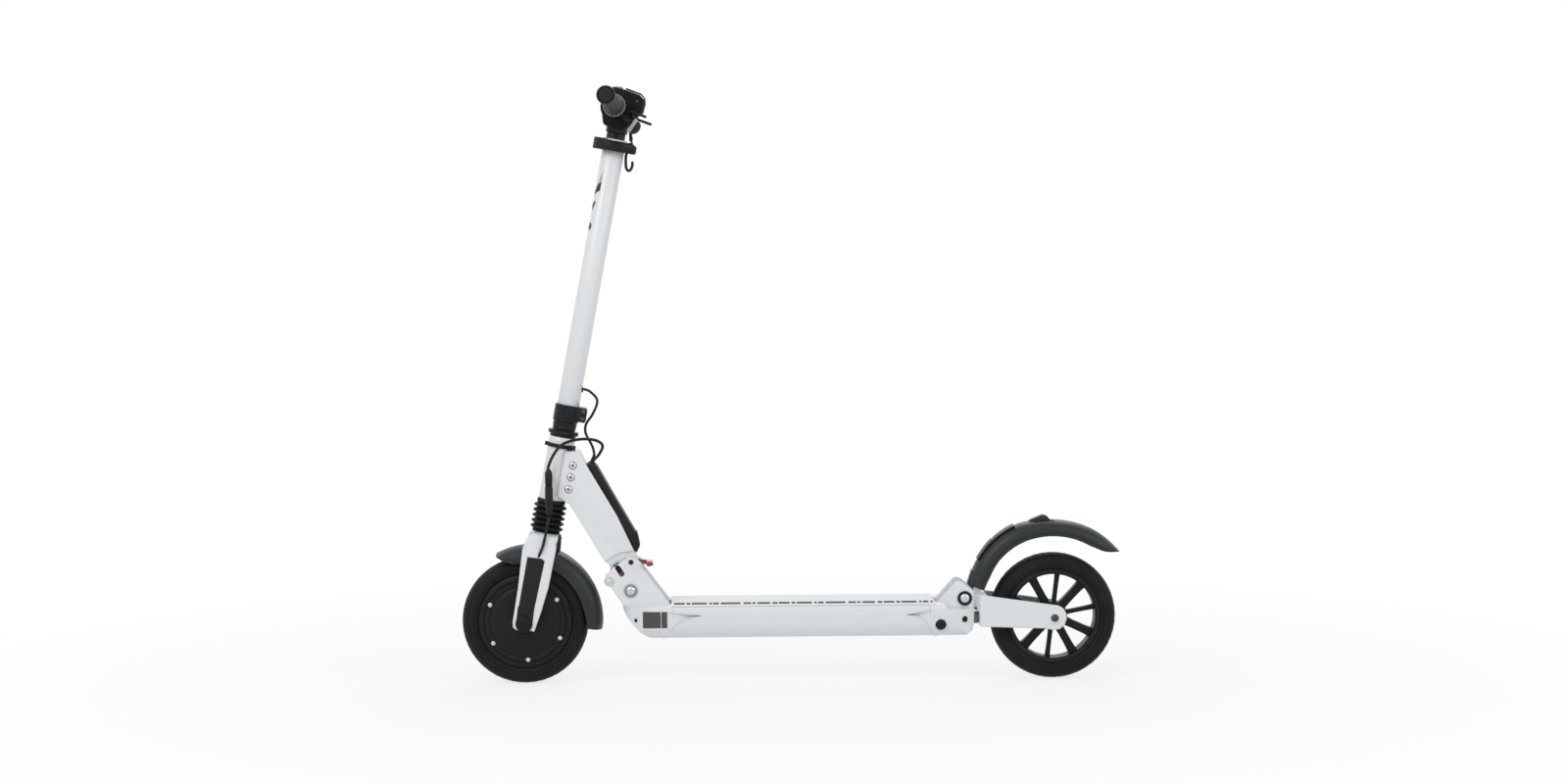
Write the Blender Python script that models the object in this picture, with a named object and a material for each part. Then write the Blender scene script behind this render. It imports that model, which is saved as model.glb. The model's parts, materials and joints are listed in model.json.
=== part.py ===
"""Foldable electric kick scooter with a hub-motor front wheel, suspension, telescopic mast and folding grips.

Metres, +Z up. The scooter faces -X and stands on z = 0 with its mid-plane at y = 0.
"""

import math

import bmesh
import bpy
from mathutils import Matrix, Vector

MM = 0.001
GAP = 0.3 * MM
CUT_HALF = 90 * MM

# Wheels and ground
TYRE_R = 100 * MM
WHEELBASE = 839 * MM
FRONT_TYRE_W = 50 * MM
REAR_TYRE_W = 45 * MM
TYRE_DEPTH = 25 * MM
WHEEL_STEPS = 32
AXLE_R = 6 * MM

# Steering line
STEER_TILT = math.radians(10.6)
STEER_OFFSET = 7.1 * MM
SUSPENSION_ROOM = 65 * MM
HEAD_LENGTH = 101 * MM
HEAD_R = 20.7 * MM
STEERER_R = 15 * MM
STEM_R = 17.5 * MM
STEM_WALL = 2.1 * MM
STEM_LENGTH = 450 * MM
MAST_TRAVEL = 220 * MM
MAST_OVERLAP = 90 * MM
MAST_TOP = 38 * MM
COLLAR_R = 19.2 * MM

# Fork
FORK_INNER = 36 * MM
FORK_OUTER = 54 * MM
FENDER_HALF = 31 * MM
FENDER_WALL = 2.4 * MM

# Handlebar
BAR_STUB_R = 13 * MM
GRIP_R = 15.5 * MM
GRIP_CORE_R = 10 * MM
KNUCKLE_Y = 78 * MM
BAR_HALF = 268 * MM
BAR_RISE = 0.0600
BAR_SWEEP = -0.0590
BAR_AFT = -7.2 * MM
POD_HALF = 36 * MM

# Deck
DECK_TOP = TYRE_R + 25.8 * MM
DECK_BOTTOM = DECK_TOP - 49.5 * MM
DECK_HALF = 70 * MM
DECK_WALL = 3 * MM
MAT_THICK = 1.5 * MM
NOSE_GAP = 56 * MM
NOSE_LENGTH = 79 * MM
TAIL_GAP = 42.1 * MM
TAIL_CAP_LENGTH = 71 * MM

# Folding joint
PIVOT_BACK = 11.9 * MM
PIVOT_UP = 22.5 * MM
NECK_HALF = HEAD_R + 3.3 * MM
CHEEK_IN = NECK_HALF + 1 * MM
CHEEK_OUT = CHEEK_IN + 6 * MM
TONGUE_HALF = CHEEK_IN - 5.5 * MM
HUB_R = 24 * MM
PIVOT_BOLT_R = 6 * MM
LOCK_PIN_R = 4 * MM
LOCK_TRAVEL = 11.5 * MM
LOCK_SLOPE = Vector((-0.54, 0, 0.84)).normalized()
BRACKET_DEPTH = 52 * MM
PEDAL_ROD_R = 3 * MM

# Rear end
TAIL_CHEEK_IN = 27 * MM
TAIL_CHEEK_OUT = 33 * MM
ARM_IN = 36 * MM
ARM_OUT = 42 * MM
REAR_FENDER_HALF = 26.5 * MM
TAIL_PIVOT_Z = TYRE_R + 31.6 * MM

# Wound and ribbed forms
SPRING_R = 15.4 * MM
SPRING_WIRE_R = 1.2 * MM
SPRING_TURNS = 6
SPRING_POINTS = 9
GAITER_RIBS = 6
GAITER_ROOT = HEAD_R - 0.2 * MM
GAITER_PEAK = GAITER_ROOT + 5.5 * MM
GAITER_WALL = 1.6 * MM

# Places worked out from the sizes above
FRONT_AXLE = Vector((0, 0, TYRE_R))
REAR_AXLE = Vector((WHEELBASE, 0, TYRE_R))
STEER_UP = Vector((math.sin(STEER_TILT), 0, math.cos(STEER_TILT)))
STEER_AFT = Vector((math.cos(STEER_TILT), 0, -math.sin(STEER_TILT)))
STEER_BASE = FRONT_AXLE + Vector((STEER_OFFSET, 0, 0))
S_CROWN = TYRE_R + 30 * MM
S_HEAD = S_CROWN + SUSPENSION_ROOM
S_HEAD_TOP = S_HEAD + HEAD_LENGTH
S_STEM = S_HEAD_TOP + 16 * MM
S_STEM_TOP = S_STEM + STEM_LENGTH
S_MAST_TOP = S_STEM_TOP + MAST_TOP
S_BAR = S_STEM_TOP + 61.4 * MM
NOSE_X = TYRE_R + NOSE_GAP
NOSE_END = NOSE_X + NOSE_LENGTH
PIVOT = Vector((NOSE_X + PIVOT_BACK, 0, DECK_TOP + PIVOT_UP))
TAIL_X = WHEELBASE - TYRE_R - TAIL_GAP
TAIL_PIVOT = Vector((TAIL_X, 0, TAIL_PIVOT_Z))
TAIL_SEAM = TAIL_X - 56.9 * MM
FENDER_HINGE = TAIL_PIVOT + Vector((20.1 * MM, 0, 11.9 * MM))
LOCK_SEAT = PIVOT + Vector((-14 * MM, 0, 26.7 * MM))
PEDAL_HINGE = PIVOT + Vector((0.7 * MM, 0, 45.3 * MM))
REAR_TIP = WHEELBASE + TYRE_R * 1.055
FRONT_TIP = -TYRE_R
X_MIDDLE = (FRONT_TIP + REAR_TIP) / 2

WHITE = (0.74, 0.76, 0.78)
BLACK = (0.022, 0.023, 0.026)
DARK = (0.035, 0.042, 0.05)
RUBBER = (0.018, 0.018, 0.019)
STEEL = (0.55, 0.56, 0.58)
RED = (0.3, 0.012, 0.02)


def clear_scene():
    for obj in list(bpy.data.objects):
        bpy.data.objects.remove(obj, do_unlink=True)


def paint(obj, rgb, roughness, metallic=0.0):
    mat = bpy.data.materials.new(obj.name + "_finish")
    mat.use_nodes = True
    shader = mat.node_tree.nodes["Principled BSDF"]
    shader.inputs["Base Color"].default_value = (*rgb, 1.0)
    shader.inputs["Roughness"].default_value = roughness
    shader.inputs["Metallic"].default_value = metallic
    mat.diffuse_color = (*rgb, 1.0)
    obj.data.materials.append(mat)
    return obj


def add_object(name, bm, origin=Vector(), round_piece=False):
    """Turns a bmesh in scooter coordinates into an object whose origin is at the given point."""
    bmesh.ops.remove_doubles(bm, verts=bm.verts, dist=1e-6)
    bmesh.ops.recalc_face_normals(bm, faces=bm.faces)
    bmesh.ops.translate(bm, verts=bm.verts, vec=-Vector(origin))
    mesh = bpy.data.meshes.new(name)
    bm.to_mesh(mesh)
    bm.free()
    if round_piece:
        mesh.polygons.foreach_set("use_smooth", [True] * len(mesh.polygons))
        mesh.set_sharp_from_angle(angle=math.radians(35))
    obj = bpy.data.objects.new(name, mesh)
    obj.location = origin
    bpy.context.scene.collection.objects.link(obj)
    return obj


def helper(obj):
    obj.hide_render = True
    obj.display_type = "WIRE"
    return obj


def boolean(obj, other, operation):
    mod = obj.modifiers.new(operation.lower() + "_" + other.name, "BOOLEAN")
    mod.operation = operation
    mod.solver = "EXACT"
    mod.object = helper(other)
    return obj


def cut(obj, *others):
    for other in others:
        boolean(obj, other, "DIFFERENCE")
    return obj


def join(obj, *others):
    for other in others:
        boolean(obj, other, "UNION")
    return obj


def keep_inside(obj, *others):
    for other in others:
        boolean(obj, other, "INTERSECT")
    return obj


def bevel(obj, width, segments=1, angle=40):
    mod = obj.modifiers.new("edge", "BEVEL")
    mod.width = width
    mod.segments = segments
    mod.limit_method = "ANGLE"
    mod.angle_limit = math.radians(angle)
    return obj


def steer(aft, up, y=0.0):
    """A point in the steering frame: up along the steering line, aft square to it."""
    return STEER_BASE + STEER_UP * up + STEER_AFT * aft + Vector((0, y, 0))


def in_steer(*pairs):
    """Outline points given in mm as aft and distance above the stem top."""
    return [steer(aft * MM, S_STEM_TOP + up * MM) for aft, up in pairs]


def near(anchor, *pairs):
    """Outline points given in mm as x and z from an anchor."""
    return [anchor + Vector((x * MM, 0, z * MM)) for x, z in pairs]


def round_wheel(*pairs):
    """Outline points round the rear wheel, given in hundredths of the tyre's radius from its axle."""
    return [REAR_AXLE + Vector((x, 0, z)) * TYRE_R / 100 for x, z in pairs]


def prism(name, outline, low, high, origin=Vector(), along=Vector((0, 1, 0))):
    """A flat outline pushed from one distance to another along a direction."""
    bm = bmesh.new()
    verts = [bm.verts.new(Vector(p) + along * low) for p in outline]
    face = bm.faces.new(verts)
    made = bmesh.ops.extrude_face_region(bm, geom=[face])
    moved = [v for v in made["geom"] if isinstance(v, bmesh.types.BMVert)]
    bmesh.ops.translate(bm, verts=moved, vec=along * (high - low))
    return add_object(name, bm, origin)


def block(name, low, high, origin=Vector()):
    """An upright box between two corners."""
    outline = [(low[0], 0, low[2]), (high[0], 0, low[2]), (high[0], 0, high[2]), (low[0], 0, high[2])]
    return prism(name, outline, low[1], high[1], origin)


def lathe(name, profile, centre, axis=Vector((0, 1, 0)), steps=24, origin=None, phase=0.5):
    """A closed profile of (radius, height) spun about an axis; flats face down when phase is half a step."""
    axis = Vector(axis).normalized()
    down = Vector((0, 0, -1)) if abs(axis.z) < 0.9 else Vector((-1, 0, 0))
    side = (down - axis * down.dot(axis)).normalized()
    side = Matrix.Rotation(phase * math.tau / steps, 3, axis) @ side
    bm = bmesh.new()
    verts = [bm.verts.new(centre + side * r + axis * h) for r, h in profile]
    edges = [bm.edges.new((a, b)) for a, b in zip(verts, verts[1:])]
    if min(profile[0][0], profile[-1][0]) > 1e-9:
        edges.append(bm.edges.new((verts[-1], verts[0])))
    bmesh.ops.spin(
        bm, geom=verts + edges, cent=centre, axis=axis, dvec=(0, 0, 0),
        angle=math.tau, steps=steps, use_merge=True, use_duplicate=False,
    )
    bmesh.ops.dissolve_degenerate(bm, edges=bm.edges, dist=1e-7)
    return add_object(name, bm, centre if origin is None else origin, round_piece=True)


def rod(name, centre, radius, low, high, axis=Vector((0, 1, 0)), steps=16, origin=None):
    return lathe(name, [(0, low), (radius, low), (radius, high), (0, high)], centre, axis, steps, origin)


def pipe(name, centre, inner, outer, low, high, axis=Vector((0, 1, 0)), steps=24, origin=None):
    ring = [(inner, low), (outer, low), (outer, high), (inner, high)]
    return lathe(name, ring, centre, axis, steps, origin)


def smooth_route(points, spacing):
    """Points at about one spacing on a smooth curve through the route points."""
    points = [Vector(p) for p in points]
    ends = [points[0] * 2 - points[1], *points, points[-1] * 2 - points[-2]]
    fine = []
    for a, b, c, d in zip(ends, ends[1:], ends[2:], ends[3:]):
        for i in range(16):
            t = i / 16
            fine.append(0.5 * (2 * b + (c - a) * t + (2 * a - 5 * b + 4 * c - d) * t**2
                               + (3 * b - a - 3 * c + d) * t**3))
    fine.append(points[-1])
    lengths = [0.0]
    for a, b in zip(fine, fine[1:]):
        lengths.append(lengths[-1] + (b - a).length)
    count = max(2, round(lengths[-1] / spacing))
    route = []
    for i in range(count + 1):
        wanted = lengths[-1] * i / count
        k = next(j for j in range(1, len(fine)) if lengths[j] >= wanted - 1e-9)
        part = (wanted - lengths[k - 1]) / max(lengths[k] - lengths[k - 1], 1e-9)
        route.append(fine[k - 1].lerp(fine[k], part))
    return route, lengths[-1]


def cord(name, points, radius, resolution=2):
    """A round cord along a route, closed at both ends."""
    data = bpy.data.curves.new(name, "CURVE")
    data.dimensions = "3D"
    data.bevel_depth = radius
    data.bevel_resolution = resolution
    data.use_fill_caps = True
    data.twist_mode = "MINIMUM"
    spline = data.splines.new("POLY")
    spline.points.add(len(points) - 1)
    for target, p in zip(spline.points, points):
        target.co = (*p, 1.0)
    spline.use_smooth = True
    obj = bpy.data.objects.new(name, data)
    bpy.context.scene.collection.objects.link(obj)
    return obj


def tyre(name, centre, width):
    half = width / 2
    grow = 1 / math.cos(math.pi / WHEEL_STEPS)
    bead = TYRE_R - TYRE_DEPTH
    side = [
        (bead, -half * 0.8), (bead + 4 * MM, -half * 0.94), (bead + 9 * MM, -half),
        (bead + 16 * MM, -half * 0.95), (bead + 22 * MM, -half * 0.76), (TYRE_R, -half * 0.42),
    ]
    profile = side + [(r, -h) for r, h in reversed(side)]
    obj = lathe(name, [(r * grow, h) for r, h in profile], centre, steps=WHEEL_STEPS)
    return paint(obj, RUBBER, 0.85)


def front_wheel():
    tyre("front_tyre", FRONT_AXLE, FRONT_TYRE_W)
    rim = TYRE_R - TYRE_DEPTH - GAP
    half = [
        (rim, -20.5), (rim - 5 * MM, -23.2), (rim - 16 * MM, -24.2), (rim - 17 * MM, -23.2),
        (rim - 25 * MM, -23.2), (rim - 26 * MM, -24.6), (8.6 * MM, -27), (8.6 * MM, -22), (rim - 9 * MM, -18),
    ]
    half = [(r, h * MM) for r, h in half]
    profile = half + [(r, -h) for r, h in reversed(half)]
    shell = lathe("front_motor_shell", profile, FRONT_AXLE, steps=WHEEL_STEPS)
    screws = bmesh.new()
    for k in range(6):
        angle = math.radians(-26 - 60 * k)
        at = FRONT_AXLE + Vector((math.cos(angle), 0, math.sin(angle))) * (rim - 13.5 * MM)
        for side in (-1, 1):
            turn = Matrix.Rotation(math.radians(90), 4, "X")
            place = Matrix.Translation(at + Vector((0, side * 24 * MM, 0))) @ turn
            bmesh.ops.create_cone(screws, cap_ends=True, segments=6, radius1=3.2 * MM, radius2=3.2 * MM,
                                  depth=4 * MM, matrix=place)
    join(shell, add_object("motor_screws", screws))
    paint(shell, DARK, 0.35, 0.6)
    stator = pipe("front_stator", FRONT_AXLE, 8.3 * MM, rim - 10.5 * MM, -15 * MM, 15 * MM, steps=32)
    paint(stator, (0.35, 0.16, 0.06), 0.4, 0.9)
    end = FORK_OUTER + GAP
    profile = [
        (0, -end - 5 * MM), (8 * MM, -end - 5 * MM), (11 * MM, -end - 3.4 * MM), (15.5 * MM, -end - 2 * MM),
        (16.5 * MM, -end), (AXLE_R, -end), (AXLE_R, -30 * MM), (8 * MM, -30 * MM),
    ]
    profile = profile + [(r, -h) for r, h in reversed(profile)]
    paint(lathe("front_axle", profile, FRONT_AXLE, steps=16), STEEL, 0.3, 1.0)


def fork():
    crown_at = FRONT_AXLE + STEER_UP * S_CROWN
    top = near(crown_at, (-18.9, 6.2), (-11.9, 12.7), (19.1, 9.2), (25.6, 4.2), (27.6, -9.8))
    low = near(FRONT_AXLE, (39, 57), (27, 18), (19.5, -6), (12, -14.5), (1, -17.5), (-10, -14.5), (-16.5, -5),
               (-17, 6), (-8.9, 57))
    outline = top + low + near(crown_at, (-25.4, -9.8))
    near_leg = prism("fork", outline, -FORK_OUTER, -FORK_INNER, STEER_BASE)
    far_leg = prism("fork_far_leg", outline, FORK_INNER, FORK_OUTER)
    bevel(near_leg, 2.5 * MM)
    bevel(far_leg, 2.5 * MM)
    low = S_CROWN + 1 * MM
    high = S_CROWN + 12 * MM
    crown_outline = [steer(-19 * MM, low), steer(21 * MM, low), steer(21 * MM, high), steer(-19 * MM, high)]
    crown = prism("fork_crown", crown_outline, -FORK_OUTER + 4 * MM, FORK_OUTER - 4 * MM)
    slider = rod("fork_slider", steer(0, 0), 12 * MM, low + 2 * MM, S_HEAD + 42 * MM, STEER_UP)
    join(near_leg, far_leg, crown, slider)
    cut(near_leg, rod("fork_axle_hole", FRONT_AXLE, AXLE_R + GAP, -CUT_HALF, CUT_HALF))
    panel = near(crown_at, (-17.4, -21.8), (5.6, -24.8), (9.6, -28.8))
    panel = panel + near(FRONT_AXLE, (14.5, 20), (-5, 22), (-6, 26))
    for side in (-1, 1):
        low, high = sorted((side * (FORK_OUTER - 2 * MM), side * (FORK_OUTER + 5 * MM)))
        middle = sum(panel, Vector()) / len(panel)
        wider = [p + (p - middle).normalized() * 0.5 * MM for p in panel]
        cut(near_leg, prism("panel_pocket" + str(side), wider, low, high))
        low, high = sorted((side * (FORK_OUTER - 2 * MM + GAP), side * (FORK_OUTER + 0.8 * MM)))
        piece = prism("fork_panel_left" if side < 0 else "fork_panel_right", panel, low, high)
        paint(piece, BLACK, 0.45)
    return paint(near_leg, WHITE, 0.3)


def front_fender():
    inner = TYRE_R + 4 * MM
    outer = TYRE_R + 19 * MM
    ends = (113, -6)
    steps = 12

    def arc(radius, grow=0.0, extra=0):
        points = []
        for i in range(steps + 1):
            part = i / steps
            angle = math.radians(ends[0] + extra + (ends[1] - extra - ends[0] - extra) * part)
            reach = radius + grow * min(1, part * 2.2)
            points.append(FRONT_AXLE + Vector((math.cos(angle), 0, math.sin(angle))) * reach)
        return points

    outline = arc(outer, 4.5 * MM) + arc(TYRE_R + 0.5 * MM, 1 * MM, -5)[::-1]
    fender = prism("front_fender", outline, -FENDER_HALF, FENDER_HALF, FRONT_AXLE)
    bevel(fender, 3 * MM, 2, 50)
    hollow = arc(outer - FENDER_WALL, 4.5 * MM, 6) + arc(inner - 30 * MM, 0, 6)[::-1]
    inside = FENDER_HALF - FENDER_WALL
    cut(fender, prism("fender_hollow", hollow, -inside, inside))
    strap = [steer(a * MM, S_CROWN + u * MM) for a, u in ((21.4, 12), (24, 12), (27.5, -19), (21, -19),
                                                          (21.4, -4))]
    join(fender, prism("fender_strap", strap, -9 * MM, 9 * MM))
    return paint(fender, DARK, 0.4)


def suspension():
    inner = GAITER_ROOT - GAITER_WALL
    low = S_CROWN + 12 * MM + GAP
    high = S_HEAD - GAP
    count = GAITER_RIBS * 2
    outer_line = []
    inner_line = []
    for i in range(count + 1):
        h = low + (high - low) * i / count
        out = i % 2 == 1
        outer_line.append((GAITER_PEAK if out else GAITER_ROOT, h))
        inner_line.append((GAITER_PEAK - GAITER_WALL if out else inner, h))
    gaiter = lathe("suspension_gaiter", outer_line + inner_line[::-1], steer(0, 0), STEER_UP, 16, STEER_BASE)
    paint(gaiter, RUBBER, 0.7)
    turns = SPRING_TURNS * SPRING_POINTS
    start = low + SPRING_WIRE_R
    rise = (high - low - 2 * SPRING_WIRE_R) / turns
    points = []
    for i in range(turns + 1):
        angle = math.tau * i / SPRING_POINTS
        across = STEER_AFT * math.cos(angle) + Vector((0, math.sin(angle), 0))
        points.append(steer(0, start + rise * i) + across * SPRING_R)
    far = SPRING_POINTS // 2
    least = min((a - b).length for i, a in enumerate(points) for b in points[i + far:])
    print(f"suspension spring: least gap between curls {(least - 2 * SPRING_WIRE_R) / MM:.2f} mm")
    spring = cord("suspension_spring", points, SPRING_WIRE_R, 1)
    paint(spring, STEEL, 0.35, 1.0)


def steering_column():
    base = steer(0, 0)
    bore = 12.4 * MM
    steerer = pipe("steerer_tube", base, bore, STEERER_R, S_HEAD + 4 * MM, S_STEM + 28 * MM, STEER_UP,
                   origin=STEER_BASE)
    paint(steerer, STEEL, 0.4, 1.0)
    seat = 8 * MM
    for name, start in (("headset_bearing_lower", S_HEAD + 0.6 * MM),
                        ("headset_bearing_upper", S_HEAD_TOP - seat + GAP)):
        ring = pipe(name, base, STEERER_R + GAP, HEAD_R - 2.3 * MM, start, start + seat - 2 * GAP, STEER_UP,
                    origin=STEER_BASE)
        paint(ring, STEEL, 0.25, 1.0)
    cap = [
        (STEERER_R + GAP, S_HEAD_TOP + GAP), (25 * MM, S_HEAD_TOP + GAP), (25.4 * MM, S_HEAD_TOP + 3.5 * MM),
        (20.5 * MM, S_HEAD_TOP + 8 * MM), (17.6 * MM, S_HEAD_TOP + 11 * MM), (17.6 * MM, S_STEM - GAP),
        (STEERER_R + GAP, S_STEM - GAP),
    ]
    paint(lathe("headset_cap", cap, base, STEER_UP, 24, STEER_BASE), BLACK, 0.4, 0.3)
    inner = STEM_R - STEM_WALL
    stem = pipe("stem_tube", base, inner, STEM_R, S_STEM, S_STEM_TOP, STEER_UP, origin=STEER_BASE)
    outlet = steer(0, S_STEM + 60 * MM)
    cut(stem, rod("cable_outlet", outlet, 4 * MM, 0, 40 * MM, STEER_AFT + STEER_UP * 0.3, 12))
    paint(stem, WHITE, 0.3)
    low = S_STEM + 4 * MM
    high = S_STEM + 38 * MM
    collar = pipe("stem_collar", base, STEM_R + GAP, COLLAR_R + 1.2 * MM, low, high, STEER_UP,
                  origin=STEER_BASE)
    ears = [steer(18.8 * MM, low + 2 * MM), steer(30.5 * MM, low + 4 * MM), steer(30.5 * MM, high - 4 * MM),
            steer(27 * MM, high), steer(18.8 * MM, high)]
    join(collar, prism("collar_ears", ears, -10 * MM, 10 * MM))
    slot = [steer(17 * MM, low - 5 * MM), steer(34 * MM, low - 5 * MM), steer(34 * MM, high + 5 * MM),
            steer(17 * MM, high + 5 * MM)]
    cut(collar, prism("collar_split", slot, -1.2 * MM, 1.2 * MM))
    for up in (12 * MM, 26 * MM):
        join(collar, rod("collar_bolt" + str(round(up / MM)), steer(25 * MM, low + up), 3.4 * MM, -12.5 * MM,
                         12.5 * MM, steps=8))
    paint(collar, BLACK, 0.35, 0.4)


def stem_clamp():
    base = steer(0, 0)
    low = S_STEM_TOP - 9 * MM
    high = S_STEM_TOP + 6 * MM
    profile = [(STEM_R + GAP, low), (22.5 * MM, low), (22.5 * MM, high), (STEERER_R + 1.1 * MM, high),
               (STEERER_R + 1.1 * MM, S_STEM_TOP + GAP), (STEM_R + GAP, S_STEM_TOP + GAP)]
    clamp = lathe("stem_clamp", profile, base, STEER_UP, 24, STEER_BASE)
    ears = in_steer((19, -8), (32, -8), (36, -5), (36, 3), (32, 5), (19, 5))
    hook = in_steer((20.4, -6), (25.2, -6), (28.6, -27), (31.5, -30.6), (34.6, -28), (35, -17.5),
                    (39.4, -17.5), (39.6, -30), (36, -35.5), (31.5, -37.2), (26.4, -34.4), (23.9, -28.5))
    join(clamp, prism("clamp_ears", ears, -10.7 * MM, 10.7 * MM), prism("carry_hook", hook, -5 * MM, 5 * MM))
    paint(clamp, BLACK, 0.35, 0.3)
    lever_low = S_STEM_TOP - 6.5 * MM
    lever_high = S_STEM_TOP + 4 * MM
    plan = [(26.8, -12.3), (30, -11), (33.2, -12.3), (34.5, -15.5), (33.2, -18.7), (30, -20), (24, -22.5),
            (10, -27.5), (-4, -28.5), (-16, -25), (-25, -17), (-32, -5),
            (-29, -3.5), (-21, -14), (-13, -21), (-3, -24), (9, -23.3), (21, -18)]
    outline = [steer(a * MM, 0, y * MM) for a, y in plan]
    lever = prism("quick_release_lever", outline, lever_low, lever_high,
                  steer(30 * MM, S_STEM_TOP, -15.5 * MM), STEER_UP)
    bevel(lever, 1 * MM, 1)
    paint(lever, BLACK, 0.3, 0.2)


def mast():
    base = steer(0, 0)
    low = S_STEM_TOP - MAST_TRAVEL - MAST_OVERLAP
    tube = pipe("mast_tube", base, 12.6 * MM, STEERER_R, low, S_MAST_TOP + 18 * MM, STEER_UP,
                origin=steer(0, S_STEM_TOP))
    paint(tube, BLACK, 0.3, 0.4)


def handlebar_pod():
    shape = in_steer((-22, 30), (-31, 62.4), (-27, 80), (-16.6, 93.4), (4, 91), (27, 86.5), (33, 82),
                     (35, 74), (33.8, 59.7), (20, 40), (16.5, 30))
    pod = prism("handlebar_pod", shape, -POD_HALF, POD_HALF, steer(0, S_STEM_TOP))
    bevel(pod, 5 * MM, 2)
    centre = steer(BAR_AFT, S_BAR)
    join(pod, rod("bar_stub", centre, BAR_STUB_R, -KNUCKLE_Y + 11.5 * MM, KNUCKLE_Y - 11.5 * MM))
    cut(pod, rod("mast_socket", steer(0, 0), STEERER_R + GAP, S_STEM_TOP, S_MAST_TOP + 18.3 * MM, STEER_UP,
                 24))
    button = steer(-8 * MM, S_STEM_TOP)
    cut(pod, rod("button_pocket", button, 6.3 * MM, 86 * MM, 120 * MM, STEER_UP))
    paint(pod, BLACK, 0.35)
    power = rod("power_button", button, 6 * MM, 88.5 * MM, 94.2 * MM, STEER_UP)
    paint(power, (0.25, 0.25, 0.26), 0.4)
    lens = in_steer((3, 92.2), (27.3, 87.6), (34, 82.6), (36.2, 74.2), (34.8, 58.5), (36.6, 58.2), (38, 74.4),
                    (35.4, 84), (28, 89.6), (3.3, 94.2))
    paint(prism("display_cover", lens, -POD_HALF + 8 * MM, POD_HALF - 8 * MM), (0.3, 0.31, 0.33), 0.12)


def bar_point(side, y, aft=0.0, up=0.0):
    """A point on a grip's own line, which rises and sweeps forward from the knuckle."""
    out = y - KNUCKLE_Y
    return steer(BAR_AFT + aft + BAR_SWEEP * out, S_BAR + up + BAR_RISE * out, side * y)


def grip(side):
    tag = "left" if side < 0 else "right"
    start = bar_point(side, KNUCKLE_Y)
    line = (bar_point(side, BAR_HALF) - start).normalized()
    length = (bar_point(side, BAR_HALF) - start).length
    ball = [(0, -10.8), (5.5, -9.3), (9.2, -5.6), (10.8, 0)]
    profile = [(r * MM, h * MM) for r, h in ball] + [(10.8 * MM, 9 * MM), (GRIP_CORE_R, 12 * MM),
                                                      (GRIP_CORE_R, length - 3 * MM), (0, length - 3 * MM)]
    paint(lathe("grip_bar_" + tag, profile, start, line, 16), BLACK, 0.4, 0.5)
    ribs = 16
    bm = bmesh.new()
    side_a = Vector((0, 0, 1)).cross(line).normalized()
    side_b = line.cross(side_a)
    rings = []
    for height in (14.5 * MM, 22 * MM):
        for inner in (True, False):
            ring = []
            for i in range(ribs * 2):
                angle = math.tau * i / (ribs * 2)
                reach = GRIP_CORE_R + GAP if inner else (17.6 * MM if i % 2 else 16.4 * MM)
                across = side_a * math.cos(angle) + side_b * math.sin(angle)
                ring.append(bm.verts.new(start + line * height + across * reach))
            rings.append(ring)
    for a, b in ((0, 1), (1, 3), (3, 2), (2, 0)):
        for i in range(ribs * 2):
            j = (i + 1) % (ribs * 2)
            bm.faces.new((rings[a][i], rings[a][j], rings[b][j], rings[b][i]))
    paint(add_object("grip_collar_" + tag, bm, start), (0.12, 0.12, 0.13), 0.5)
    sleeve = [
        (GRIP_CORE_R + GAP, 22.3 * MM), (16.5 * MM, 22.3 * MM), (GRIP_R, 27 * MM), (14.8 * MM, 34 * MM),
        (14.8 * MM, length - 14 * MM), (GRIP_R + 0.5 * MM, length - 9 * MM), (GRIP_R, length - 1.5 * MM),
        (14 * MM, length), (GRIP_CORE_R + GAP, length),
    ]
    paint(lathe("grip_sleeve_" + tag, sleeve, start, line, 20), RUBBER, 0.8)


def thumb_lever(name, side, drop):
    centre = steer(BAR_AFT, S_BAR)
    low, high = sorted((side * (POD_HALF + GAP * 2), side * (POD_HALF + 13 * MM)))
    hub = pipe(name, centre, BAR_STUB_R + GAP, 17.5 * MM, low, high, steps=16)
    pairs = ((13, -2), (30, -5 - drop), (50.5, -7.5 - drop), (50.5, -11 - drop), (29, -9.5 - drop), (12, -9))
    outline = [centre + STEER_AFT * a * MM + STEER_UP * u * MM for a, u in pairs]
    low, high = sorted((side * (POD_HALF + GAP * 2), side * (POD_HALF + 17 * MM)))
    paddle = prism(name + "_paddle", outline, low, high)
    join(hub, paddle)
    cut(hub, rod(name + "_bore", centre, BAR_STUB_R + GAP, -CUT_HALF, CUT_HALF))
    return paint(hub, BLACK, 0.4)


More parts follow.
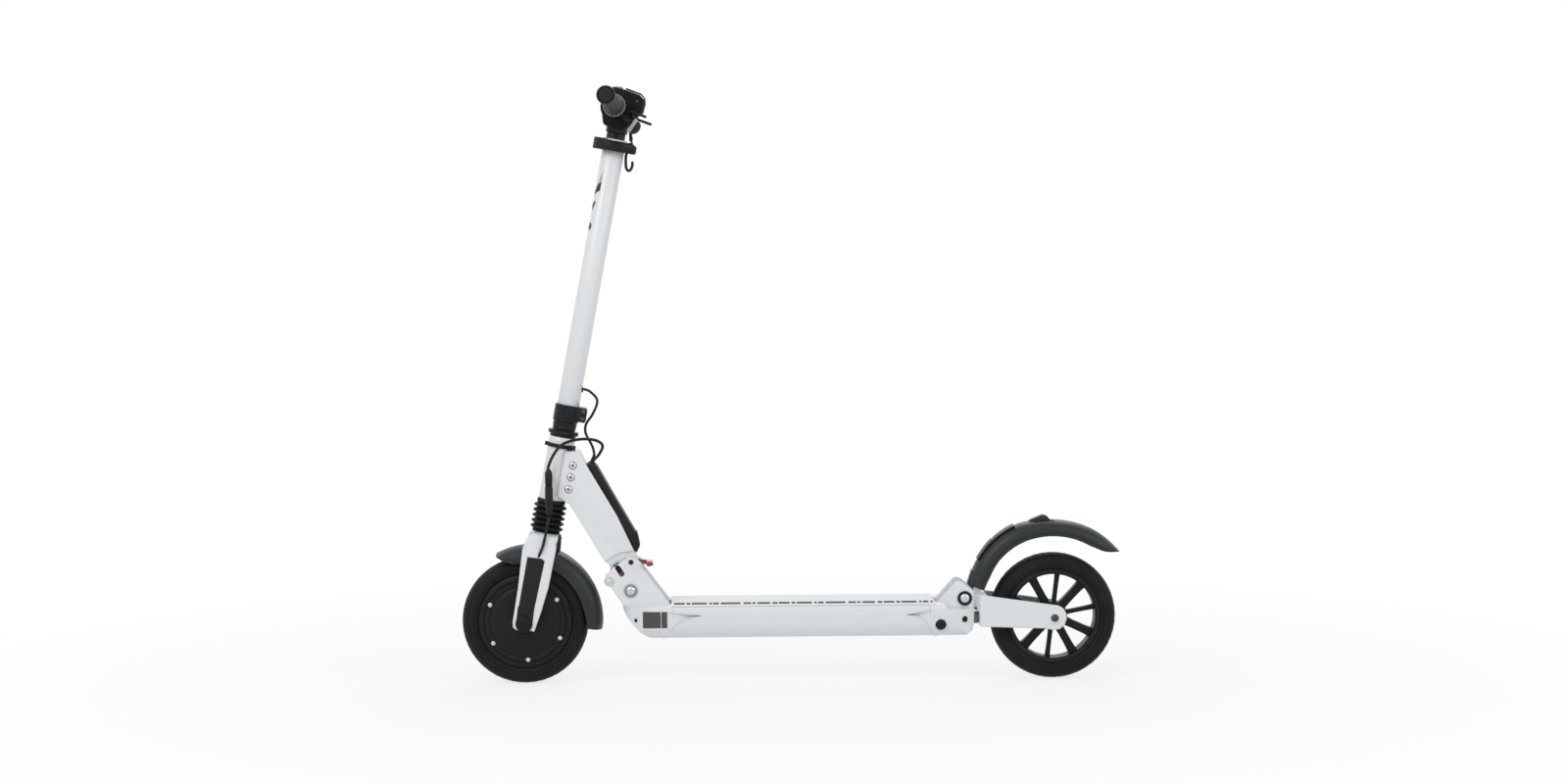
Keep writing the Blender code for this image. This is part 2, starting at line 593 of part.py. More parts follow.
def bell():
    centre = steer(BAR_AFT, S_BAR)
    strap = pipe("bell", centre, BAR_STUB_R + GAP, 15.8 * MM, -59.3 * MM, -54.3 * MM, steps=16)
    arm = in_steer((2, 50), (8, 52), (25, 38), (22.5, 24), (19, 24), (20, 37))
    join(strap, prism("bell_arm", arm, -64 * MM, -54.3 * MM))
    lug = in_steer((19, 27), (24, 27), (28.5, 17), (28.5, 12), (23.5, 12))
    join(strap, prism("striker_lug", lug, -61.7 * MM, -57.5 * MM))
    seat = steer(22.4 * MM, S_STEM_TOP + 29.5 * MM, -66 * MM)
    dome = [(0, 0), (11.5 * MM, 0), (11.5 * MM, 4 * MM), (9.6 * MM, 8.5 * MM), (5.4 * MM, 11.3 * MM),
            (0, 12 * MM)]
    join(strap, lathe("bell_dome", dome, seat, STEER_AFT - STEER_UP * 0.15, 20))
    cut(strap, rod("bell_bore", centre, BAR_STUB_R + GAP, -CUT_HALF, CUT_HALF))
    paint(strap, STEEL, 0.25, 0.9)
    start = steer(26 * MM, S_STEM_TOP + 14.5 * MM, -66 * MM)
    striker = rod("bell_striker", start, 2 * MM, -4 * MM, 4 * MM, steps=12)
    tab = in_steer((24.5, 15), (27.5, 15), (33, 5.5), (30, 4))
    join(striker, prism("striker_tab", tab, -68 * MM, -64 * MM))
    paint(striker, BLACK, 0.4)


def head_tube():
    base = steer(0, 0)
    seat = HEAD_R - 2 * MM
    bore = STEERER_R + 2.2 * MM
    profile = [
        (seat, S_HEAD + GAP), (HEAD_R, S_HEAD + GAP), (HEAD_R, S_HEAD_TOP), (seat, S_HEAD_TOP),
        (seat, S_HEAD_TOP - 8 * MM), (bore, S_HEAD_TOP - 8 * MM), (bore, S_HEAD + 8.6 * MM),
        (seat, S_HEAD + 8.6 * MM),
    ]
    paint(lathe("head_tube", profile, base, STEER_UP, 24, PIVOT), WHITE, 0.3)
    low = S_HEAD_TOP - 17 * MM
    band = pipe("cable_band", base, HEAD_R + GAP, HEAD_R + 2.6 * MM, low, low + 6 * MM, STEER_UP,
                origin=PIVOT)
    outline = [steer(a * MM - HEAD_R, low + u * MM) for a, u in ((-4.8, 0.4), (-1.3, 0.4), (-1.3, 5.6),
                                                                 (-4.8, 5.6))]
    lug = prism("band_lug", outline, -6 * MM, 4 * MM)
    join(band, lug)
    paint(band, RUBBER, 0.6)


def neck():
    top = S_HEAD + HEAD_LENGTH
    upper = [steer(a * MM, top + u * MM) for a, u in ((8, -20), (29.6, -16), (42.6, -32.7))]
    rear = near(PIVOT, (-20.1, 116.9), (5.6, 62.2))
    under = near(PIVOT, (-16, 59.4), (-36.3, 42.8))
    front = [steer(a * MM, top + u * MM) for a, u in ((54.3, -122), (22.6, -93.4), (8.2, -92.2))]
    body = prism("neck", upper + rear + under + front, -NECK_HALF, NECK_HALF, PIVOT)
    bevel(body, 1.5 * MM)
    hub = [(HUB_R * math.cos(math.radians(a)), HUB_R * math.sin(math.radians(a)))
           for a in (105, 130, 155, 180, 205, 230, 255, 280, 305, 330, 355, 20)]
    hub = [PIVOT + Vector((x, 0, z)) for x, z in hub]
    rest = near(PIVOT, (20, 25), (14, 40), (10.3, 52.8), (5.2, 62.6), (4, 66), (-16.3, 64))
    tongue = prism("neck_tongue", hub + rest, -TONGUE_HALF, TONGUE_HALF)
    join(body, tongue)
    relief = -CHEEK_IN + 4.4 * MM
    cut(body, rod("pedal_relief", PIVOT, 61.8 * MM, -CUT_HALF, relief, steps=48))
    cut(body, rod("head_bore", steer(0, 0), HEAD_R + GAP, S_HEAD - 40 * MM, S_HEAD_TOP + 40 * MM, STEER_UP,
                  24))
    cut(body, rod("hub_bore", PIVOT, PIVOT_BOLT_R + GAP, -CUT_HALF, CUT_HALF))
    for a, u in ((19.5, -43.5), (17.5, -61.2), (18.8, -80.5)):
        centre = steer(a * MM, top + u * MM)
        join(body, rod("neck_bolt" + str(round(-u)), centre, 6.2 * MM, -NECK_HALF - 2.2 * MM,
                       -NECK_HALF + 3 * MM, steps=12))
        join(body, rod("neck_bolt_far" + str(round(-u)), centre, 6.2 * MM, NECK_HALF - 3 * MM,
                       NECK_HALF + 2.2 * MM, steps=12))
    paint(body, WHITE, 0.3)


def controller():
    top = S_HEAD + HEAD_LENGTH
    inner_top = steer(44.2 * MM, top - 33 * MM)
    upper = steer(60.5 * MM, top - 33.5 * MM)
    shape = [inner_top, upper, *near(PIVOT, (-20.1, 139.9), (0.8, 96.6), (13.6, 67.3), (9.6, 58.4), (6.6, 62),
                                     (-19.3, 117.7))]
    box = prism("controller_box", shape, -20 * MM, 20 * MM, PIVOT)
    bevel(box, 2 * MM)
    return paint(box, BLACK, 0.5)


def fold_bracket():
    shape = near(PIVOT, (60.8, -19.6), (20.8, 33.4), (17.5, 44), (9, 51), (-3, 52.2), (-15.4, 45.2),
                 (-29.9, 35.2), (-34.4, 27.7), (-33.3, 14), (-30.5, 4.2), (-14.6, -19.3), (-8, -28),
                 (-8, -BRACKET_DEPTH / MM), (60.8, -BRACKET_DEPTH / MM))
    near_cheek = prism("fold_bracket", shape, -CHEEK_OUT, -CHEEK_IN, PIVOT)
    far_cheek = prism("fold_far_cheek", shape, CHEEK_IN, CHEEK_OUT)
    low = PIVOT + Vector((-8 * MM, -CHEEK_OUT + 1 * MM, -BRACKET_DEPTH))
    high = PIVOT + Vector((94 * MM, CHEEK_OUT - 1 * MM, -28 * MM))
    base = block("fold_base", low, high)
    bevel(near_cheek, 1.5 * MM)
    bevel(far_cheek, 1.5 * MM)
    barrel = rod("stop_barrel", PIVOT + Vector((-34 * MM, 0, 14.8 * MM)), 8 * MM, -CHEEK_OUT - 1 * MM,
                 CHEEK_OUT + 1 * MM)
    join(near_cheek, far_cheek, base, barrel)
    cut(near_cheek, rod("pivot_bore", PIVOT, PIVOT_BOLT_R + GAP, -CUT_HALF, CUT_HALF))
    cut(near_cheek, rod("pedal_bore", PEDAL_HINGE, PEDAL_ROD_R + GAP, -CUT_HALF, CUT_HALF))
    end = LOCK_SEAT + LOCK_SLOPE * LOCK_TRAVEL
    wide = (LOCK_PIN_R + GAP) * Vector((LOCK_SLOPE.z, 0, -LOCK_SLOPE.x))
    outline = [LOCK_SEAT - wide, LOCK_SEAT + wide, end + wide, end - wide]
    slot = prism("lock_slot", outline, -CUT_HALF, CUT_HALF)
    cut(near_cheek, slot)
    for name, at in (("slot_foot", LOCK_SEAT), ("slot_head", end)):
        cut(near_cheek, rod(name, at, LOCK_PIN_R + GAP, -CUT_HALF, CUT_HALF))
    return paint(near_cheek, WHITE, 0.3)


def fold_hardware():
    out = CHEEK_OUT + GAP
    half = [(0, -out - 4.2 * MM), (7 * MM, -out - 4.2 * MM), (7.4 * MM, -out - 1.8 * MM),
            (11 * MM, -out - 1.8 * MM),
            (11.2 * MM, -out), (PIVOT_BOLT_R, -out)]
    paint(lathe("fold_bolt", half + [(r, -h) for r, h in reversed(half)], PIVOT, steps=16), STEEL, 0.3, 1.0)
    paint(rod("lock_pin", LOCK_SEAT, LOCK_PIN_R, -CHEEK_OUT - 1.5 * MM, CHEEK_OUT + 1.5 * MM, steps=20),
          STEEL, 0.3, 1.0)
    pedal = rod("release_pedal", PEDAL_HINGE, PEDAL_ROD_R, -CHEEK_OUT - 0.8 * MM, -CHEEK_IN + 3 * MM,
                steps=20)
    arm = near(PEDAL_HINGE, (-5, -4), (-2, 4.5), (8, 5), (22, 3.2), (34.2, 2.6), (35.4, -3), (30, -4.5),
               (12, -3.5), (0, -6))
    join(pedal, prism("pedal_arm", arm, -CHEEK_IN + 0.7 * MM, -CHEEK_IN + 4 * MM))
    pad = near(PEDAL_HINGE, (25, 3.1), (34.2, 2.6), (35.4, -3), (30, -4.5), (25, -4))
    join(pedal, prism("pedal_pad", pad, -52 * MM, -CHEEK_IN + 4 * MM))
    paint(pedal, RED, 0.35)


def section(grow=0.0):
    """The deck's cross-section in y and z, grown outward by the given amount."""
    half = DECK_HALF
    right = [
        (half - 4 * MM + grow * 0.7, DECK_TOP + grow), (half + grow, DECK_TOP - 5 * MM),
        (half + grow, DECK_TOP - 15 * MM), (half - 3 * MM + grow, DECK_TOP - 31 * MM),
        (half - 8 * MM + grow, DECK_BOTTOM + 6 * MM), (half - 14 * MM + grow * 0.7, DECK_BOTTOM - grow),
    ]
    return [Vector((0, y, z)) for y, z in right] + [Vector((0, -y, z)) for y, z in reversed(right)]


def deck_slice(name, low, high, grow=0.0):
    return prism(name, section(grow), low, high, along=Vector((1, 0, 0)))


def deck_shell():
    low = NOSE_END + GAP
    high = TAIL_SEAM - GAP
    shell = deck_slice("deck_shell", low, high)
    inner = deck_slice("deck_hollow", low - 50 * MM, high + 50 * MM, -DECK_WALL)
    cut(shell, inner)
    paint(shell, WHITE, 0.35, 0.2)
    z = DECK_TOP + GAP
    mat = block("deck_mat", (NOSE_END - 3 * MM, -DECK_HALF + 6 * MM, z),
                (TAIL_SEAM + 9 * MM, DECK_HALF - 6 * MM, z + MAT_THICK))
    paint(mat, (0.3, 0.31, 0.32), 0.9)
    battery = block("battery_pack", (NOSE_END + 32 * MM, -DECK_HALF + 19 * MM, DECK_BOTTOM + DECK_WALL + GAP),
                    (TAIL_SEAM - 25 * MM, DECK_HALF - 19 * MM, DECK_TOP - DECK_WALL - 3 * MM))
    bevel(battery, 2 * MM, 1)
    paint(battery, (0.05, 0.12, 0.3), 0.5)


def wing(name, outline, low, high):
    """A leaf-shaped cover over both sides of the deck, just clear of its skin."""
    leaf = deck_slice(name, low, high, 1.6 * MM)
    keep_inside(leaf, prism(name + "_shape", outline, -DECK_HALF - 20 * MM, DECK_HALF + 20 * MM))
    cut(leaf, block(name + "_middle", (low - 10 * MM, -DECK_HALF + 12 * MM, 0),
                    (high + 10 * MM, DECK_HALF - 12 * MM, DECK_TOP + 20 * MM)))
    return leaf


def deck_plan(start, pairs):
    """A plan outline from distances in mm and shares of the deck's half width, the same on both sides."""
    right = [Vector((start + x * MM, share * DECK_HALF, 0)) for x, share in pairs]
    return right + [Vector((p.x, -p.y, 0)) for p in reversed(right)]


def deck_nose():
    nose = deck_slice("deck_nose", NOSE_X - 10 * MM, NOSE_END)
    side = near(Vector((NOSE_X, 0, DECK_TOP)), (-1, -1.5), (0.5, -7), (6.8, -17.9), (18.9, -32.7),
                (31.1, -42.9),
                (44, -50), (110, -60), (110, 5), (-1, 5))
    keep_inside(nose, prism("nose_side", side, -DECK_HALF - 10 * MM, DECK_HALF + 10 * MM))
    plan = ((-2, 0.43), (4, 0.643), (14, 0.8), (30, 0.93), (52, 1.007), (110, 1.014))
    outline = deck_plan(NOSE_X, plan)
    keep_inside(nose, prism("nose_plan", outline, 0, DECK_TOP + 20 * MM, along=Vector((0, 0, 1))))
    shape = near(Vector((NOSE_X, 0, DECK_TOP)), (60, -6.1), (69.9, -6.1), (100, -9.5), (123.7, -12.8),
                 (100, -17.5),
                 (84, -25), (72, -37), (66, -55), (60, -55))
    leaf = wing("nose_leaf", shape, NOSE_X + 55 * MM, NOSE_X + 130 * MM)
    cut(leaf, deck_slice("nose_leaf_bed", NOSE_END - GAP, NOSE_X + 140 * MM, GAP))
    join(nose, leaf)
    pocket = CHEEK_OUT + GAP
    low = PIVOT.z - BRACKET_DEPTH - GAP
    cut(nose, block("nose_pocket", (PIVOT.x - 8 * MM - GAP, -pocket, low), (NOSE_END + 20 * MM, pocket,
                                                                            DECK_TOP + 30 * MM)))
    cut(nose, block("nose_notch", (NOSE_X - 20 * MM, -pocket, PIVOT.z - 36 * MM),
                    (PIVOT.x, pocket, DECK_TOP + 30 * MM)))
    return paint(nose, WHITE, 0.35)


def deck_tail():
    end = TAIL_X + 14.1 * MM
    tail = deck_slice("deck_tail", TAIL_SEAM, end + 10 * MM)
    anchor = Vector((TAIL_X, 0, DECK_TOP))
    side = near(anchor, (-70, 5), (-36, 5), (-28, -7.5), (8, -7.5), (12.5, -9), (14.1, -13), (13, -30),
                (10.9, -42.3), (2, -48), (-12, -60),
                (-70, -60))
    keep_inside(tail, prism("tail_side", side, -DECK_HALF - 10 * MM, DECK_HALF + 10 * MM))
    plan = ((-70, 1.014), (-32, 1.007), (-12, 0.943), (4, 0.829), (12, 0.714), (16, 0.6))
    outline = deck_plan(TAIL_X, plan)
    keep_inside(tail, prism("tail_plan", outline, 0, DECK_TOP + 20 * MM, along=Vector((0, 0, 1))))
    shape = near(anchor, (-45, -7), (-58, -7), (-80, -10.5), (-94.9, -14.3), (-76, -18), (-62, -27),
                 (-54, -40),
                 (-50, -55), (-45, -55))
    leaf = wing("tail_leaf", shape, TAIL_X - 105 * MM, TAIL_X - 40 * MM)
    cut(leaf, deck_slice("tail_leaf_bed", TAIL_X - 120 * MM, TAIL_SEAM + GAP, GAP))
    join(tail, leaf)
    pocket = TAIL_CHEEK_OUT + GAP
    floor = DECK_TOP - 30.1 * MM
    roof = DECK_TOP + 45 * MM
    cut(tail, block("tail_pocket", (TAIL_SEAM - 20 * MM, -pocket, floor), (TAIL_X - 8 * MM, pocket, roof)))
    floor = DECK_TOP - 23.8 * MM
    cut(tail, block("tail_mouth", (TAIL_X - 20 * MM, -pocket, floor), (TAIL_X + 40 * MM, pocket, roof)))
    port = Vector((TAIL_X - 40.5 * MM, 0, DECK_TOP - 31.4 * MM))
    cut(tail, rod("port_flat", port, 9 * MM, -DECK_HALF - 10 * MM, -DECK_HALF + 4.5 * MM))
    cut(tail, rod("port_socket", port, 6 * MM, -DECK_HALF - 10 * MM, -DECK_HALF + 20 * MM))
    paint(tail, WHITE, 0.35)
    face = -DECK_HALF + 4.5 * MM - GAP
    plug = [(0, face - 4 * MM), (6.5 * MM, face - 4 * MM), (8.2 * MM, face - 3 * MM), (8.2 * MM, face),
            (5.6 * MM, face), (5.6 * MM, face + 7 * MM), (0, face + 7 * MM)]
    paint(lathe("charge_plug", plug, port, steps=24), RUBBER, 0.6)


def tail_bracket():
    shape = near(TAIL_PIVOT, (-41, -5), (-33.9, 4.4), (-13.5, 26.5), (-9.5, 27.3), (-2.3, 24.6),
                 (14.8, 10.8), (14.8, -28),
                 (-14, -28), (-18, -35), (-60, -35), (-60, -13))
    bracket = prism("tail_bracket", shape, -TAIL_CHEEK_OUT, -TAIL_CHEEK_IN)
    far = prism("tail_far_cheek", shape, TAIL_CHEEK_IN, TAIL_CHEEK_OUT)
    low = TAIL_PIVOT + Vector((-78 * MM, -TAIL_CHEEK_OUT + 3 * MM, -33 * MM))
    high = TAIL_PIVOT + Vector((-16 * MM, TAIL_CHEEK_OUT - 3 * MM, -14 * MM))
    bevel(bracket, 1.2 * MM)
    bevel(far, 1.2 * MM)
    join(bracket, far, block("tail_base", low, high))
    cut(bracket, rod("tail_bore", TAIL_PIVOT, PIVOT_BOLT_R + GAP, -CUT_HALF, CUT_HALF))
    paint(bracket, WHITE, 0.3)
    out = TAIL_CHEEK_OUT + GAP
    half = [(0, -out - 4 * MM), (7.6 * MM, -out - 4 * MM), (8 * MM, -out - 2 * MM),
            (11.4 * MM, -out - 2 * MM),
            (11.6 * MM, -out), (PIVOT_BOLT_R, -out)]
    paint(lathe("tail_bolt", half + [(r, -h) for r, h in reversed(half)], TAIL_PIVOT, steps=16), STEEL, 0.3,
          1.0)


def swingarm():
    root = near(TAIL_PIVOT, (23, -44.6), (23, 6), (35.8, 4.1))
    wheel = near(REAR_AXLE, (5, 19.6), (13, 15.5), (18, 8), (19, -1), (16, -11), (8, -18), (-2, -19.5),
                 (-16.8, -16.7))
    outline = root + wheel + near(TAIL_PIVOT, (30, -45))
    arm = prism("swingarm", outline, -ARM_OUT, -ARM_IN, TAIL_PIVOT)
    other = prism("swingarm_far", outline, ARM_IN, ARM_OUT)
    bevel(arm, 1.5 * MM)
    bevel(other, 1.5 * MM)
    low = TAIL_PIVOT + Vector((23 * MM, -ARM_OUT + 2 * MM, -43 * MM))
    high = TAIL_PIVOT + Vector((35 * MM, ARM_OUT - 2 * MM, 4 * MM))
    lug = near(TAIL_PIVOT, (-11, -2), (-9, 7), (-2, 11.5), (6, 11), (25, 3), (25, -24), (10, -14), (-4, -11))
    lug = prism("arm_lug", lug, -TAIL_CHEEK_IN + 0.5 * MM, TAIL_CHEEK_IN - 0.5 * MM)
    join(arm, other, block("arm_root", low, high), lug)
    for name, low, high in (("ear_left", -17 * MM, -12 * MM), ("ear_right", 12 * MM, 17 * MM)):
        ear = near(FENDER_HINGE, (-6, -1), (-4.5, 4), (0, 6.2), (4.5, 4), (8, -10), (8, -20), (-6, -20))
        join(arm, prism(name, ear, low, high))
    join(arm, rod("fender_rod", FENDER_HINGE, 3 * MM, -14 * MM, 14 * MM, steps=16))
    cut(arm, rod("arm_bore", TAIL_PIVOT, PIVOT_BOLT_R + GAP, -CUT_HALF, CUT_HALF))
    cut(arm, rod("arm_axle_bore", REAR_AXLE, AXLE_R + GAP, -CUT_HALF, CUT_HALF))
    paint(arm, WHITE, 0.3)
    low = TAIL_PIVOT + Vector((15.1 * MM, -18 * MM, -42 * MM))
    high = TAIL_PIVOT + Vector((22.7 * MM, 18 * MM, -27 * MM))
    rubber = block("rear_elastomer", low, high)
    bevel(rubber, 1 * MM, 1)
    paint(rubber, (0.2, 0.05, 0.02), 0.7)


def rear_wheel():
    tyre("rear_tyre", REAR_AXLE, REAR_TYRE_W)
    rim_r = TYRE_R - TYRE_DEPTH - GAP
    half = REAR_TYRE_W / 2 - 3 * MM
    rim = lathe("rear_rim", [(rim_r - 6 * MM, -half), (rim_r - 1 * MM, -half - 1 * MM),
                             (rim_r, -half + 2 * MM),
                             (rim_r, half - 2 * MM), (rim_r - 1 * MM, half + 1 * MM), (rim_r - 6 * MM, half),
                             (rim_r - 7.5 * MM, 0)],
                REAR_AXLE, steps=WHEEL_STEPS)
    spokes = bmesh.new()
    for k in range(10):
        angle = math.radians(87 + 36 * k)
        width = (8.5 if k % 2 == 0 else 12.5) * MM
        depth = (12 if k % 2 == 0 else 20) * MM
        turn = Matrix.Rotation(-angle, 4, "Y")
        reach = (17 * MM, rim_r - 3.5 * MM)
        size = Matrix.Diagonal((reach[1] - reach[0], depth, width, 1))
        shift = Matrix.Translation(Vector((sum(reach) / 2, 0, 0)))
        bmesh.ops.create_cube(spokes, size=1, matrix=Matrix.Translation(REAR_AXLE) @ turn @ shift @ size)
    join(rim, add_object("rear_spokes", spokes))
    hub_half = ARM_IN - 10 * MM
    hub = [(0, -hub_half), (17 * MM, -hub_half), (22.5 * MM, -14 * MM), (22.5 * MM, 14 * MM),
           (17 * MM, hub_half),
           (0, hub_half)]
    join(rim, lathe("rear_hub", hub, REAR_AXLE, steps=24))
    cut(rim, rod("rear_hub_bore", REAR_AXLE, 12.8 * MM, -60 * MM, 60 * MM, steps=24))
    paint(rim, BLACK, 0.35, 0.3)
    sleeve = pipe("rear_bearing_cartridge", REAR_AXLE, AXLE_R + GAP, 12.5 * MM, -hub_half + 1 * MM,
                  hub_half - 1 * MM, steps=24)
    paint(sleeve, STEEL, 0.25, 1.0)
    out = ARM_OUT + GAP
    profile = [(0, -out - 4 * MM), (5.4 * MM, -out - 4 * MM), (9.5 * MM, -out - 2 * MM), (10 * MM, -out),
               (AXLE_R, -out)]
    paint(lathe("rear_axle", profile + [(r, -h) for r, h in reversed(profile)], REAR_AXLE, steps=16), STEEL,
          0.3, 1.0)


def rear_fender():
    outer = round_wheel((-135.9, 52), (-121.5, 93), (-105, 116), (-89.3, 132.7), (-72, 144.5), (-55, 152),
                        (-30, 156), (0, 156), (38.5, 149.5), (66, 139), (88, 123), (105.5, 103.5))
    inner = round_wheel((92, 102), (75.8, 104.2), (58.7, 111), (30.6, 124), (-8.3, 128), (-40, 122),
                        (-62, 111), (-86.2, 90.5), (-98.8, 62.5), (-107.9, 50))
    fender = prism("rear_fender", outer + inner, -REAR_FENDER_HALF, REAR_FENDER_HALF, FENDER_HINGE)
    bevel(fender, 3 * MM, 2, 50)
    hollow = round_wheel((-118.5, 60), (-117.5, 91), (-101.8, 113.5), (-87, 129.3), (-70.3, 141.3),
                         (-54, 148.7), (-30, 152.6), (0, 152.6), (37.8, 146), (64.5, 135.6), (86, 119.5),
                         (97, 108.4), (99, -40), (50, 60), (-60, 60))
    inside = REAR_FENDER_HALF - 1.8 * MM
    cut(fender, prism("rear_fender_hollow", hollow, -inside, inside))
    tongue = near(FENDER_HINGE, (-6, 0), (-4, -4.5), (0, -6), (5, -5), (12, 8), (16, 22), (-7, 30), (-14, 8))
    join(fender, prism("fender_tongue", tongue, -11.5 * MM, 11.5 * MM))
    catch = round_wheel((-46, 152.5), (-42, 157), (-17.5, 162.5), (-11.5, 160), (-9, 153.8), (-44, 152.2))
    join(fender, prism("hook_catch", catch, -8 * MM, 8 * MM))
    cut(fender, rod("fender_hinge_bore", FENDER_HINGE, 3.3 * MM, -40 * MM, 40 * MM, steps=16))
    paint(fender, DARK, 0.4)
    pad = round_wheel((-26, 128), (24, 128), (30, 132), (33, 143.5), (0, 152.3), (-29, 152.3), (-33, 147))
    shoe = prism("brake_shoe", pad, -14 * MM, 14 * MM)
    bevel(shoe, 1.5 * MM, 1)
    paint(shoe, RUBBER, 0.8)


def cables():
    radius = 2.4 * MM
    box_top = steer(52 * MM, S_HEAD_TOP - 32.4 * MM)
    outlet = steer(STEM_R + 1.4 * MM, S_STEM + 64.5 * MM)
    one = [outlet, steer(31 * MM, S_STEM + 62 * MM), steer(44 * MM, S_STEM + 50 * MM),
           steer(40.5 * MM, S_STEM + 28 * MM), steer(33.2 * MM, S_STEM + 11 * MM),
           steer(35 * MM, S_STEM - 4 * MM), steer(48.5 * MM, S_STEM - 22 * MM),
           steer(54 * MM, S_STEM - 35 * MM), box_top + STEER_UP * 4 * MM, box_top]
    route, length = smooth_route(one, 7 * MM)
    print(f"display cable: {length:.3f} m")
    paint(cord("display_cable", route, radius), RUBBER, 0.5)
    out = -NECK_HALF - 11 * MM
    top = steer(-12 * MM, S_HEAD_TOP - 52.3 * MM, out)
    bottom = steer(2 * MM, S_HEAD_TOP - 124 * MM, out - 0.5 * MM)
    line = (bottom - top).normalized()
    start = steer(55 * MM, S_HEAD_TOP - 32.2 * MM, -8 * MM)
    two = [start, start + STEER_UP * 5 * MM, steer(62 * MM, S_HEAD_TOP - 16 * MM, -10 * MM),
           steer(65 * MM, S_HEAD_TOP - 2 * MM, -14 * MM),
           steer(55 * MM, S_HEAD_TOP + 5 * MM, -20 * MM), steer(36 * MM, S_HEAD_TOP + 5 * MM, -27 * MM),
           steer(16 * MM, S_HEAD_TOP - 1 * MM, out + 3.5 * MM), steer(0, S_HEAD_TOP - 12 * MM,
                                                                      out + 1.5 * MM),
           steer(-9 * MM, S_HEAD_TOP - 30 * MM, out + 0.5 * MM), top - line * 5 * MM, top - line * GAP]
    route, length = smooth_route(two, 7.5 * MM)
    print(f"motor cable, upper run: {length:.3f} m")
    paint(cord("motor_cable", route, radius), RUBBER, 0.5)
    length = (bottom - top).length
    plug = [(0, 0), (4 * MM, 0), (6 * MM, 4 * MM), (6.4 * MM, 22 * MM), (5.4 * MM, 24 * MM),
            (5.4 * MM, 27 * MM),
            (6.4 * MM, 29 * MM), (6 * MM, length - 5 * MM), (4 * MM, length), (0, length)]
    paint(lathe("motor_connector", plug, top, line, 14), BLACK, 0.5)
    side = -FORK_OUTER - 3.4 * MM
    lead = [bottom + line * GAP, bottom + line * 5 * MM, bottom + line * 10 * MM + Vector((0, -4 * MM, 0)),
            steer(3.5 * MM, S_CROWN + 26 * MM, -FORK_OUTER + 6 * MM), steer(3 * MM, S_CROWN + 10 * MM, side),
            steer(0, S_CROWN - 8 * MM, side), steer(-3.4 * MM, S_CROWN - 22 * MM, side)]
    route, length = smooth_route(lead, 6.5 * MM)
    print(f"motor cable, lower run: {length:.3f} m")
    paint(cord("motor_lead", route, radius), RUBBER, 0.5)


def main():
    clear_scene()
    front_wheel()
    fork()
    front_fender()
    suspension()
    steering_column()
    stem_clamp()
    mast()
    handlebar_pod()
    for side in (-1, 1):
        grip(side)
    thumb_lever("brake_lever", -1, 0)
    thumb_lever("throttle_lever", 1, 5)
    bell()
    head_tube()
    neck()
    controller()
    fold_bracket()
    fold_hardware()
    deck_shell()
    deck_nose()
    deck_tail()
    tail_bracket()
    swingarm()
    rear_wheel()
    rear_fender()
    cables()
    for obj in bpy.data.objects:
        obj.location.x -= X_MIDDLE


main()
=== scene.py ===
"""Looks of a foldable electric kick scooter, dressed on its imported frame.

Shapes are drawn in millimetres, with x measured back from the front axle, y to the rider's right
and z up from the ground. They turn into the frame's metres when a piece is finished.
"""

import json
import logging
import math
from dataclasses import dataclass, field
from enum import Enum
from typing import Callable, Iterable, Sequence

import bmesh
import bpy
from mathutils import Matrix, Vector
from mathutils.bvhtree import BVHTree

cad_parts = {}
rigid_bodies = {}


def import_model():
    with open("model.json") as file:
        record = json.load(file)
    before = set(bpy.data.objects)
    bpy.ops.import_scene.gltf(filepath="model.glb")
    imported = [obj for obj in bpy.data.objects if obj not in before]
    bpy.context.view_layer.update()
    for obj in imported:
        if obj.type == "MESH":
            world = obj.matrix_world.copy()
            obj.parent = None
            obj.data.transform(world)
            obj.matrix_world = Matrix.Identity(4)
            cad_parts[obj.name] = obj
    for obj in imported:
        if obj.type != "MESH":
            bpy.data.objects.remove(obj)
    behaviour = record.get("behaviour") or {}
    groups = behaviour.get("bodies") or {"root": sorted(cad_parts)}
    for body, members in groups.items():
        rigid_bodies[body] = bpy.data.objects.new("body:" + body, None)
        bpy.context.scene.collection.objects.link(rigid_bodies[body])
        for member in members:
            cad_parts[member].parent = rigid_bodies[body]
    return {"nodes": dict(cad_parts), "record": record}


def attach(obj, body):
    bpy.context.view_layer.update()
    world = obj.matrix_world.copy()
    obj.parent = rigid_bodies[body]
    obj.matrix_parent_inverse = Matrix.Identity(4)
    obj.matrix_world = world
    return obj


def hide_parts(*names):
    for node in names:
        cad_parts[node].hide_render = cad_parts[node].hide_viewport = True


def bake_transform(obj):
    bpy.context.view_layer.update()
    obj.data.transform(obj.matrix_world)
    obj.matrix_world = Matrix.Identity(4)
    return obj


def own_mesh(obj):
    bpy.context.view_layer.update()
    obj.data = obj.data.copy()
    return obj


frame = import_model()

LOG = logging.getLogger("scooter")
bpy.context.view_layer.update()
MM = 0.001
MIDDLE_X = 422.25
SIDES = (-1, 1)
X = Vector((1, 0, 0))
Y = Vector((0, 1, 0))
Z = Vector((0, 0, 1))
STEER_TILT = math.radians(10.6)
STEER_UP = Vector((math.sin(STEER_TILT), 0, math.cos(STEER_TILT)))
STEER_AFT = Vector((math.cos(STEER_TILT), 0, -math.sin(STEER_TILT)))
STEER_BASE = Vector((7.1, 0, 100))
FRONT_AXLE = Vector((0, 0, 100))
REAR_AXLE = Vector((839, 0, 100))
S_CROWN = 130.0
S_HEAD = 195.0
S_HEAD_TOP = 296.0
S_STEM = 312.0
S_CLAMP = 762.0
S_BAR = 823.4
CROWN = STEER_UP * S_CROWN + Z * STEER_BASE.z
BAR = STEER_BASE + STEER_UP * S_BAR - STEER_AFT * 7.2
PIVOT = Vector((167.9, 0, 148.3))
